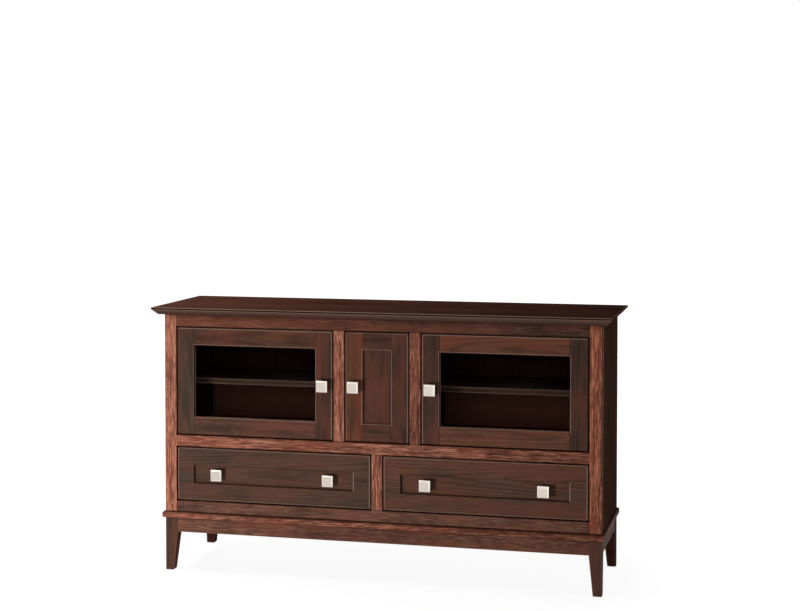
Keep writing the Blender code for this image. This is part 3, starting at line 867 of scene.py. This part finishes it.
def paintBackLightAndShade(shape):
    low, high = backLightAndShade["levels"]
    cutAcross(shape, 2, low)
    cutAcross(shape, 2, high)
    edges, warmth = grainLayers(shape)[2:]
    for face in shape.faces:
        if face.normal.y < -turnedTo:
            for loop in face.loops:
                share = min(max((loop.vert.co.z - low) / (high - low), 0.0), 1.0)
                loop[edges] = backLightAndShade["below"] + share * (backLightAndShade["above"] - backLightAndShade["below"])
                loop[warmth] = backLightAndShade["warmth"] * (1 - share)


# How far each arris of a door or drawer front is painted lighter, as painted highlight and rubbed
# wear, or darker below 0, as painted shade: outer is round the front, opening is round its pane,
# panel or field, and flare is on the opening's chamfer. A chamfer that isn't named gets painted
# shade.

arrisWearAndLight = {
    "chamfer": 0.002, "width": 0.0017, "fieldInset": 0.061, "shaded": -0.6,
    "door_left": {
        "outer": {"left": 0.0, "right": 1.0, "top": 1.0},
        "opening": {"left": 0.4, "right": 1.0, "top": 0.9},
        "flare": {"bottom": 0.9}},
    "door_centre": {
        "outer": {"left": 0.6, "right": 0.9, "top": 0.6},
        "opening": {"left": 1.3, "right": 1.0, "top": 0.9},
        "flare": {"bottom": 0.9}},
    "door_right": {
        "outer": {"left": 0.8, "right": 0.0, "top": 0.9},
        "opening": {"left": 0.9, "right": 0.9, "top": 0.9},
        "flare": {"bottom": 0.9}},
    "drawer": {
        "outer": {"left": 0.7, "right": 1.1, "top": 0.5, "bottom": 0.4},
        "opening": {"left": -0.9, "right": 0.9, "top": -0.3, "bottom": -0.9},
        "flare": {"left": -0.9, "right": 0.9, "top": -0.3, "bottom": -0.9}}}


def leafEdges(node):
    if node.startswith("drawer"):
        low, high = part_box(node)
        outer = (low.x, low.z), (high.x, high.z)
        return outer, grownBy(outer, -arrisWearAndLight["fieldInset"]), arrisWearAndLight["drawer"]
    leaf = node.rsplit("_stile", 1)[0].rsplit("_rail", 1)[0]
    left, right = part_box(leaf + "_stile_left"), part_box(leaf + "_stile_right")
    bottom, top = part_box(leaf + "_rail_bottom"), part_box(leaf + "_rail_top")
    outer = (left[0].x, bottom[0].z), (right[1].x, top[1].z)
    opening = (left[1].x, bottom[1].z), (right[0].x, top[0].z)
    return outer, opening, arrisWearAndLight[leaf]


def dressBoard(node, group, axis, tone):
    picker = random.Random(node)
    wood = woodMaterials[group["wood"]]
    shape = weldedCopy(node)
    low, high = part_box(node)
    pivotFaces = []
    if "door" in node and "stile" in node:
        outer = leafEdges(node)[0]
        low.z, high.z = outer[0][1], outer[1][1]      # without its pivot pins
        pivotFaces = [face for face in shape.faces
                      if not low.z - touching < face.calc_center_median().z < high.z + touching]
    woodFaces = {face for face in shape.faces if face not in pivotFaces}
    for face in pivotFaces:
        face.material_index = 1
    if node.startswith("leg"):
        for vertex in shape.verts:
            if vertex.co.z < low.z + feet["raise"]:
                vertex.co.z += feet["raise"]
    easeEdges(shape, group["soften"], woodFaces)
    if node in bored:
        shape = boredShape(shape, node, wood)
    place = treePlace(low, high, grainAxes[axis], picker, group["slant"])
    paintBoard(shape, shape.faces, place, tone, group["wearAndShade"], group["lightFalloff"],
               warmths.get(node, group["warmth"]), group["cooling"])
    if "arrisWearAndLight" in group:
        paintArrisWearAndLight(shape, node)
    if "gaps" in group:
        paintGapShade(shape, group["gaps"])
    if "shadowUnder" in group:
        overhang, depth, share = group["shadowUnder"]
        if abs(high.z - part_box(overhang)[0].z) < overhangGap:
            paintShadeUnder(shape, high.z, depth, share)
    if node == "back_panel":
        paintBackLightAndShade(shape)
    materials = [wood] + ([pivotMaterial] if pivotFaces else [])
    if "shown" in group:
        side = Vector(shownSides[node])
        for face in shape.faces:
            if face.normal.dot(side) > turnedTo:
                face.material_index = 1
        materials.append(woodMaterials[group["shown"]])
    addShape(node + "_wood", shape, materials, bodyOf[node], group["slot"], (node,))


dressed = [(node, {**plainBoard, **group}, axis, tone) for group in boards.values() for axis in grainAxes
           for node, tone in group.get(axis, {}).items()]
for board in dressed:
    dressBoard(*board)
print("boards:", len(dressed))


# Top: four planks glued edge to edge, each from another part of the tree. Its arrises are painted
# lighter, as painted highlight and wear, its edge faces are painted darker as painted shade, and the
# bevel under it is painted lighter and greyer as painted sheen, with a painted highlight along its
# upper arris. The bevel's share runs from its upper to its lower end and gains towards the right,
# as painted light.

topBoard = {
    "tones": (0.56, 0.64, 0.52, 0.59), "lightFalloff": 0.14, "soften": 0.0004, "slant": 1.6, "warmth": -0.35,
    # The arris shares are painted highlights with wear, the edge share is painted shade, the bevel shares and
    # its tint are painted sheen, its gain to the right is painted light, and fade is painted light falloff
    "arris": 1.0, "arrisWidth": 0.0021, "edge": -1.0, "bevel": (0.26, -0.04), "bevelHeight": 0.0179,
    "bevelArris": 0.95, "bevelLine": 0.0019, "bevelLightGain": 0.18, "bevelSheen": -1.0,
    "level": 0.95, "upright": 0.1}      # shares of a face's normal upwards, for its flats and its edge


# Lines beside the front and end arrises of the top, and under the upper arris of its bevel
def scoreTop(shape, low, high, bevelTop):
    width = topBoard["arrisWidth"]
    for axis, level in ((1, low.y + width), (0, low.x + width), (0, high.x - width), (2, bevelTop),
                        (2, bevelTop - topBoard["bevelLine"]), (2, high.z - width)):
        cutAcross(shape, axis, level)


def topWearAndLight(face, spot, low, high, bevelTop):
    middle, upwards, width = face.calc_center_median(), face.normal.z, topBoard["arrisWidth"]
    if upwards > topBoard["level"]:
        beside = middle.y < low.y + width or not low.x + width < middle.x < high.x - width
        return topBoard["arris"] if beside else 0.0
    if upwards > topBoard["upright"]:
        return topBoard["arris"]
    if upwards >= -topBoard["upright"]:
        return topBoard["arris"] if middle.z > high.z - width else topBoard["edge"]
    if upwards <= -topBoard["level"]:
        return 0.0
    if middle.z > bevelTop:
        return topBoard["edge"]
    if middle.z > bevelTop - topBoard["bevelLine"]:
        return topBoard["bevelArris"]
    upper, lower = topBoard["bevel"]
    gain = topBoard["bevelLightGain"] * (spot.x - low.x) / (high.x - low.x)
    return lower + gain + (upper - lower) * max((spot.z - low.z) / (bevelTop - low.z), 0)


def dressTop():
    shape = weldedCopy("top")
    low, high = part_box("top")
    easeEdges(shape, topBoard["soften"])
    plankWidth = (high.y - low.y) / len(topBoard["tones"])
    for index in range(1, len(topBoard["tones"])):
        cutAcross(shape, 1, low.y + index * plankWidth)
    bevelTop = low.z + topBoard["bevelHeight"]
    scoreTop(shape, low, high, bevelTop)
    edges, warmth = grainLayers(shape)[2:]
    picker = random.Random("top")
    for index, tone in enumerate(topBoard["tones"]):
        start = low.y + index * plankWidth
        plankLow = Vector((low.x, start, low.z))
        plankHigh = Vector((high.x, start + plankWidth, high.z))
        faces = [face for face in shape.faces if start <= face.calc_center_median().y < start + plankWidth]
        place = treePlace(plankLow, plankHigh, 0, picker, topBoard["slant"])
        paintBoard(shape, faces, place, tone, 0.0, topBoard["lightFalloff"], topBoard["warmth"])
    for face in shape.faces:
        for loop in face.loops:
            loop[edges] = topWearAndLight(face, loop.vert.co, low, high, bevelTop)
            if face.normal.z < -topBoard["upright"]:
                loop[warmth] = topBoard["bevelSheen"]
    addShape("top_wood", shape, [woodMaterials["top"]], "case", "top_wood", ("top",))


dressTop()
for node in ("door_left_glass", "door_right_glass"):
    for slot in frame["nodes"][node].material_slots:
        slot.material = glassMaterial
print("top and panes ready")


# Knobs: a turned stem under a square head with a sloping rim, and a brushed face set in the rim.
# Each head and face ring is height, half width and corner radius; each stem ring is height and radius.

knobShape = {
    "head": (
        (0.0170, 0.0160, 0.0010), (0.0176, 0.0188, 0.0012), (0.0186, 0.0194, 0.0013),
        (0.0196, 0.0195, 0.0013), (0.0250, 0.0195, 0.0013), (0.0257, 0.0191, 0.0011),
        (0.0278, 0.0152, 0.0009), (0.0280, 0.0147, 0.0008), (0.0277, 0.0143, 0.0008),
        (0.0268, 0.0142, 0.0007)),
    "face": (
        (0.0266, 0.0140, 0.0006), (0.0275, 0.0140, 0.0006), (0.0277, 0.0136, 0.0006),
        (0.0274, 0.0090, 0.0005), (0.0272, 0.0040, 0.0004)),
    "stem": (
        (0.0002, 0.0098), (0.0014, 0.0104), (0.0030, 0.0101), (0.0042, 0.0080), (0.0058, 0.0063),
        (0.0090, 0.0056), (0.0125, 0.0062), (0.0150, 0.0085), (0.0172, 0.0125)),
    "cornerSteps": 4, "stemSteps": 28, "screwHead": 0.0045, "screwHeight": 0.0022, "boxWall": 0.012}

# A domed screw head with a square recess. Rings of the dome are shares of its height and radius,
# and rings of the recess shares of its height, with half width and corner radius as shares of the radius.
screwShape = {
    "dome": ((0.0, 1.0), (0.45, 1.0), (0.85, 0.8), (1.0, 0.56)),
    "recess": ((1.0, 0.36, 0.108), (0.35, 0.324, 0.09)), "steps": 4}


def squareRings(part):
    return [(height, squareRing(half, corner, knobShape["cornerSteps"]))
            for height, half, corner in knobShape[part]]


def roundRings(rings, count):
    return [(height, roundRing(radius, count)) for height, radius in rings]


def makeScrew(radius, height):
    dome = [(height * rise, radius * share) for rise, share in screwShape["dome"]]
    recess = [(height * rise, squareRing(radius * half, radius * corner, screwShape["steps"]))
              for rise, half, corner in screwShape["recess"]]
    return makeMaster("screw", roundRings(dome, 4 * screwShape["steps"]) + recess)


knobMaster = makeMaster(
    "knob", squareRings("head"), roundRings(knobShape["stem"], knobShape["stemSteps"]))
faceMaster = makeMaster("knob face", squareRings("face"))
screwMaster = makeScrew(knobShape["screwHead"], knobShape["screwHeight"])
knobNodes = {}
for node in sorted(frame["nodes"]):
    if "knob" in node:
        knobNodes.setdefault(bodyOf[node], []).append(node)
for body, nodes in knobNodes.items():
    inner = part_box("door_left_rail_top")[1].y
    if body.startswith("drawer"):
        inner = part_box(body + "_box")[0].y + knobShape["boxWall"]
    places = []
    backs = []
    for node in nodes:
        low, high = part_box(node)
        middle = (low + high) / 2
        places.append(((middle.x, high.y, middle.z), (0, -1, 0)))
        backs.append(((middle.x, inner + touching, middle.z), (0, 1, 0)))
    placedParts(body + "_knobs_metal", knobMaster, places, body, "satin_nickel", nickelMaterial, nodes)
    placedParts(body + "_knob_faces", faceMaster, places, body, "satin_nickel", brushedMaterial)
    placedParts(body + "_knob_screws", screwMaster, backs, body, "satin_nickel", nickelMaterial)
print("knobs:", sum(len(nodes) for nodes in knobNodes.values()))


# Drawer boxes: sides with dovetails at both ends, the front and back boards with the pins,
# a plywood bottom and two shoes that run beside the centre guide

drawerBox = {
    "wall": 0.012, "skirt": 0.015, "bottom": 0.006, "tails": 4, "pinNarrow": 0.0030, "pinWide": 0.0056,
    "fit": 0.0001, "shoe": 0.012, "shoeGap": 0.0008, "shoeLift": 0.002, "guide": 0.040, "soften": 0.0004,
    "slant": 1.6, "tones": {"side": 0.55, "end": 0.40, "bottom": 0.70, "shoe": 0.30}}


def tailedEnd(tip, root, levels):
    narrow, wide = drawerBox["pinNarrow"], drawerBox["pinWide"]
    points = []
    for index, level in enumerate(levels):
        if index == 0:
            points += [(tip, level), (root, level)]
        else:
            points += [(tip, level - narrow), (root, level - wide)]
        if index == len(levels) - 1:
            points += [(root, level)]
        else:
            points += [(root, level + wide), (tip, level + narrow)]
    return points


def drawerParts(node):
    low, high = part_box(node)
    wall, fit = drawerBox["wall"], drawerBox["fit"]
    inner = (low.x + wall, high.x - wall)
    ends = (low.y, low.y + wall), (high.y, high.y - wall)
    base = low.z + drawerBox["skirt"]
    levels = [base + (high.z - base) / drawerBox["tails"] * index for index in range(drawerBox["tails"] + 1)]
    front, back = [tailedEnd(tip, root, levels) for tip, root in ends]
    outline = [(low.y, low.z)] + front + back[::-1] + [(high.y, low.z)]
    for span in ((low.x, inner[0]), (inner[1], high.x)):
        shape = bmesh.new()
        prism(shape, outline, 0, *span)
        yield "side", shape, 1
    for tip, root in ends:
        slab = sorted((tip, root))
        shape = newBlock((inner[0] + fit, slab[0], base), (inner[1] - fit, slab[1], high.z))
        narrow, wide = drawerBox["pinNarrow"] - fit, drawerBox["pinWide"] - fit
        for index, level in enumerate(levels):
            below = 0 if index == 0 else 1
            above = 0 if index == len(levels) - 1 else 1
            outline = ((tip, level - narrow * below), (root, level - wide * below),
                       (root, level + wide * above), (tip, level + narrow * above))
            for span in ((low.x, inner[0] + fit), (inner[1] - fit, high.x)):
                prism(shape, outline, 0, *span)
        yield "end", shape, 0
    yield "bottom", newBlock(
        (inner[0], low.y + wall, base), (inner[1], high.y - wall, base + drawerBox["bottom"])), 0
    middle = (low.x + high.x) / 2
    for hand in (-1, 1):
        near = drawerBox["guide"] / 2 + drawerBox["shoeGap"]
        span = sorted((middle + hand * near, middle + hand * (near + drawerBox["shoe"])))
        yield "shoe", newBlock(
            (span[0], low.y + wall, low.z + drawerBox["shoeLift"]), (span[1], high.y - wall, base)), 1


def makeDrawerBox(node):
    picker = random.Random(node)
    whole = bmesh.new()
    for part, shape, axis in drawerParts(node):
        corners = [vertex.co for vertex in shape.verts]
        low = Vector([min(corner[side] for corner in corners) for side in range(3)])
        high = Vector([max(corner[side] for corner in corners) for side in range(3)])
        easeEdges(shape, drawerBox["soften"])
        place = treePlace(low, high, axis, picker, drawerBox["slant"])
        paintBoard(shape, shape.faces, place, drawerBox["tones"][part])
        mesh = toMesh(shape, part)
        whole.from_mesh(mesh)
        bpy.data.meshes.remove(mesh)
    addShape(node + "_dovetailed", whole, [woodMaterials["drawerBox"]], bodyOf[node], "drawer_box_wood",
             (node,))


for node in ("drawer_left_box", "drawer_right_box"):
    makeDrawerBox(node)
print("drawer boxes ready")


# Glazing beads: mitred strips that hold each pane and the centre panel in their rebates

beads = {"rebate": 0.008, "fit": 0.0003, "rounding": 0.0012, "tone": 0.42, "slant": 0.8}


# The bead that a point lies on, from its offset from the middle of the opening
def beadSide(offset, half):
    if abs(offset.x) - half.x > abs(offset.z) - half.z:
        return "right" if offset.x > 0 else "left"
    return "top" if offset.z > 0 else "bottom"


def addBeads(leaf, filling):
    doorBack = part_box(leaf + "_rail_top")[1].y
    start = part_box(filling)[1].y + beads["fit"]
    opening = leafEdges(leaf + "_rail_top")[1]
    (left, low), (right, high) = opening
    width = beads["rebate"] - beads["fit"]
    y = (start + doorBack) / 2
    (x0, z0), (x1, z1) = grownBy(opening, width / 2)
    mesh = grown(pathMesh([(x0, y, z0), (x1, y, z0), (x1, y, z1), (x0, y, z1)]), strips, {
        "Width": width * math.sqrt(2), "Depth": doorBack - start, "Rounding": beads["rounding"],
        "Across": (0.0, 1.0, 0.0), "Material": woodMaterials["door"]})
    shape = bmesh.new()
    shape.from_mesh(mesh)
    grainLayers(shape)      # made before faces are chosen, because new layers let go of them
    middle = Vector(((left + right) / 2, y, (low + high) / 2))
    half = Vector(((right - left) / 2, 1, (high - low) / 2))
    picker = random.Random(leaf)
    for side, along in (("left", 2), ("right", 2), ("bottom", 0), ("top", 0)):
        chosen = [face for face in shape.faces if beadSide(face.calc_center_median() - middle, half) == side]
        place = treePlace(middle - half, middle + half, along, picker, beads["slant"])
        paintBoard(shape, chosen, place, beads["tone"])
    addShape(leaf + "_beads", shape, [woodMaterials["door"]], leaf, "door_wood")


for leaf, filling in (("door_left", "door_left_glass"), ("door_right", "door_right_glass"),
                      ("door_centre", "door_centre_panel")):
    addBeads(leaf, filling)
print("beads ready")


# Shelf pins, back screws and floor glides

def footPlaces():
    places = []
    for node in (*boards["legs"]["upright"], *boards["rearLegs"]["upright"]):
        sole = [vertex.co for vertex in frame["nodes"][node].data.vertices if vertex.co.z < feet["sole"]]
        x, y = [(min(corner[axis] for corner in sole) + max(corner[axis] for corner in sole)) / 2
                for axis in (0, 1)]
        places.append(((x, y, 0.0), (0, 0, 1)))
    return places


pinMaster = makeMaster("pin", roundRings(shelfPins["rings"], shelfPins["ringSteps"]))
pins = [place for wall in shelfWalls for place in pinPlaces(wall, (0,))]
placedParts("shelf_pins", pinMaster, pins, "case", "satin_nickel", nickelMaterial)

backScrew = makeScrew(backScrews["head"], backScrews["height"])
sunkPlaces = [((x, y - backScrews["sunk"] + touching, z), away) for (x, y, z), away in backScrewPlaces()]
placedParts("back_screws", backScrew, sunkPlaces, "case", "satin_nickel", pivotMaterial)

glideMaster = makeMaster("glide", roundRings(feet["rings"], feet["ringSteps"]))
placedParts("floor_glides", glideMaster, footPlaces(), "case", None, plasticMaterial)
for master in masters:
    bpy.data.objects.remove(master)
print("pins, screws and glides ready")


# Magnetic catches beside the doors' free stiles, and their strike plates

catches = {
    "size": (0.024, 0.034, 0.013), "rounding": 0.0012, "level": 0.822, "setback": 0.0022,
    "pole": 0.0012, "poleReach": 0.0012, "poleInset": 0.003, "poleOffset": 0.25,
    "plate": (0.016, 0.0009, 0.013), "plateRounding": 0.0003, "plateInset": 0.002,
    "sites": (("partition_left", -1, "door_left"), ("partition_left", 1, "door_centre"),
              ("partition_right", 1, "door_right"))}


def makeCatch(wall, hand, leaf):
    low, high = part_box(wall)
    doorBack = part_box(leaf + "_rail_top")[1].y
    wallFace = (high.x if hand > 0 else low.x) + hand * touching
    width, depth, height = catches["size"]
    level = catches["level"]
    front = doorBack + catches["setback"]
    span = sorted((wallFace, wallFace + hand * width))
    shape = newBlock((span[0], front, level - height / 2), (span[1], front + depth, level + height / 2))
    easeEdges(shape, catches["rounding"])
    addShape(leaf + "_catch", shape, [plasticMaterial], "case")
    shape = bmesh.new()
    inset, pole = catches["poleInset"], catches["pole"]
    for offset in (-catches["poleOffset"], catches["poleOffset"]):
        z = level + offset * height
        block(shape, (span[0] + inset, front - catches["poleReach"], z - pole / 2),
              (span[1] - inset, front + touching, z + pole / 2))
    addShape(leaf + "_catch_poles", shape, [nickelMaterial], "case", "satin_nickel")
    freeLow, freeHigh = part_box(leaf + ("_stile_right" if leaf == "door_left" else "_stile_left"))
    plateWidth, thickness, plateHeight = catches["plate"]
    edge = freeHigh.x if leaf == "door_left" else freeLow.x
    edge += hand * catches["plateInset"]
    reach = sorted((edge, edge + hand * plateWidth))
    shape = newBlock((reach[0], doorBack + touching, level - plateHeight / 2),
                     (reach[1], doorBack + touching + thickness, level + plateHeight / 2))
    easeEdges(shape, catches["plateRounding"])
    addShape(leaf + "_strike", shape, [nickelMaterial], leaf, "satin_nickel")


for site in catches["sites"]:
    makeCatch(*site)
print("catches ready")


# Cable-slot grommets: a sleeve through the back panel with a lip on its inner face

grommet = {
    "cornerRadius": 0.012, "cornerSteps": 6, "sleeve": 0.0018, "sleeveRounding": 0.0003,
    "lip": 0.0055, "lipThickness": 0.0014, "lipRounding": 0.0006, "levels": (0.745, 0.795),
    "slots": {"grommet_left": (-0.4879, -0.3879), "grommet_right": (0.3879, 0.4879)}}


def slotPath(span, shrink, y):
    corner, steps = grommet["cornerRadius"], grommet["cornerSteps"]
    points = []
    (left, right), (low, high) = span, grommet["levels"]
    middles = ((right - corner, high - corner), (left + corner, high - corner),
               (left + corner, low + corner), (right - corner, low + corner))
    for quarter, (x, z) in enumerate(middles):
        for step in range(steps + 1):
            angle = math.pi / 2 * (quarter + step / steps)
            points.append((
                x + (corner - shrink) * math.cos(angle), y, z + (corner - shrink) * math.sin(angle)))
    return points


def makeGrommet(name, span):
    low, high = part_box("back_panel")
    sleeve, lip, thickness = grommet["sleeve"], grommet["lip"], grommet["lipThickness"]
    whole = bmesh.new()
    sleeveDepth = high.y - low.y + thickness
    runs = (
        (sleeve / 2 + touching, high.y - sleeveDepth / 2, sleeve, sleeveDepth, grommet["sleeveRounding"]),
        (-lip / 2 + sleeve / 2, low.y - thickness / 2 - touching, lip + sleeve, thickness,
         grommet["lipRounding"]))
    for shrink, y, width, depth, rounding in runs:
        mesh = grown(pathMesh(slotPath(span, shrink, y)), strips, {
            "Width": width, "Depth": depth, "Rounding": rounding, "Across": (0.0, 1.0, 0.0),
            "Material": plasticMaterial})
        whole.from_mesh(mesh)
    addShape(name, whole, [plasticMaterial], "case")


for name, span in grommet["slots"].items():
    makeGrommet(name, span)
print("grommets ready")


# Stage: a white floor that keeps the shadow, white all round for the eye, and soft lamps, of which
# metal shows only the mirrored ones

stage = {
    "floorSize": 120.0, "floorColour": (236, 236, 236), "floorShine": 0.82, "white": 1.12,
    "fadeStart": 0.75, "fadeEnd": 1.5, "ambient": 0.11}
lamps = {
    "key": {
        "place": (-1.3, -2.7, 0.08), "aim": (0.2, 0, 0.6), "size": (0.3, 0.12), "watts": 48,
        "mirrored": False},
    "fill": {
        "place": (0.6, -5.0, 1.3), "aim": (0.2, 0, 0.5), "size": (2.4, 1.6), "watts": 16,
        "mirrored": True},
    "rightStrip": {
        "place": (3.6, -1.2, 0.8), "aim": (0.4, -0.2, 0.5), "size": (0.6, 1.8), "watts": 12,
        "mirrored": True},
    "overhead": {
        "place": (-1.6, -0.3, 2.6), "aim": (-0.4, 0, 0.9), "size": (1.2, 0.9), "watts": 46,
        "mirrored": True},
    "behind": {
        "place": (-1.4, 4.4, 1.4), "aim": (0, 0.2, 0.5), "size": (2.6, 1.6), "watts": 110,
        "mirrored": False}}


# The eye sees white, also in metal and through glass, but dull surfaces aren't lit by that
def whiteRays(sheet):
    seen = sheet.add("ShaderNodeLightPath", output="Is Camera Ray")
    for ray in ("Is Glossy Ray", "Is Transmission Ray"):
        seen = seen.largest(sheet.add("ShaderNodeLightPath", output=ray))
    dulled = sheet.add("ShaderNodeLightPath", output="Diffuse Depth").between(0.0, 1.0)
    return seen * (1.0 - dulled)


def makeStage():
    material, sheet = newMaterial("whiteFloor")
    seen = whiteRays(sheet)
    place = sheet.add("ShaderNodeTexCoord", output="Object")
    away = sheet.add("ShaderNodeVectorMath", {"operation": "LENGTH"}, {0: place}, "Value")
    far = away.between(stage["fadeStart"], stage["fadeEnd"])
    share = stage["floorShine"] + far * (1.0 - stage["floorShine"])
    lit = sheet.add("ShaderNodeBsdfDiffuse", {}, {"Color": fromSrgb(*stage["floorColour"])})
    white = sheet.add("ShaderNodeEmission", {}, {"Color": (1, 1, 1, 1), "Strength": stage["white"]})
    mixed = sheet.add("ShaderNodeMixShader", {}, {0: seen * share, 1: lit, 2: white})
    sheet.cover(mixed)
    shape = bmesh.new()
    bmesh.ops.create_grid(shape, x_segments=2, y_segments=2, size=stage["floorSize"] / 2)
    floor = newObject("floor", toMesh(shape, "floor", [material]))


def makeWorld():
    world = bpy.data.worlds.new("softbox")
    bpy.context.scene.world = world
    world.use_nodes = True
    sheet = Sheet(world.node_tree)
    seen = whiteRays(sheet)
    strength = stage["ambient"] + seen * (1.0 - stage["ambient"])
    background = sheet.add("ShaderNodeBackground", {}, {"Color": (1, 1, 1, 1), "Strength": strength})
    sheet.add("ShaderNodeOutputWorld", {}, {"Surface": background})


def makeLamps():
    for name, lamp in lamps.items():
        data = bpy.data.lights.new(name, "AREA")
        data.shape = "RECTANGLE"
        data.size, data.size_y = lamp["size"]
        data.energy = lamp["watts"]
        item = newObject(name, data)
        item.location = lamp["place"]
        direction = Vector(lamp["aim"]) - Vector(lamp["place"])
        item.rotation_euler = direction.to_track_quat("-Z", "Y").to_euler()
        item.visible_camera = False
        item.visible_glossy = lamp["mirrored"]


makeStage()
makeWorld()
makeLamps()
print("stage and lamps ready")
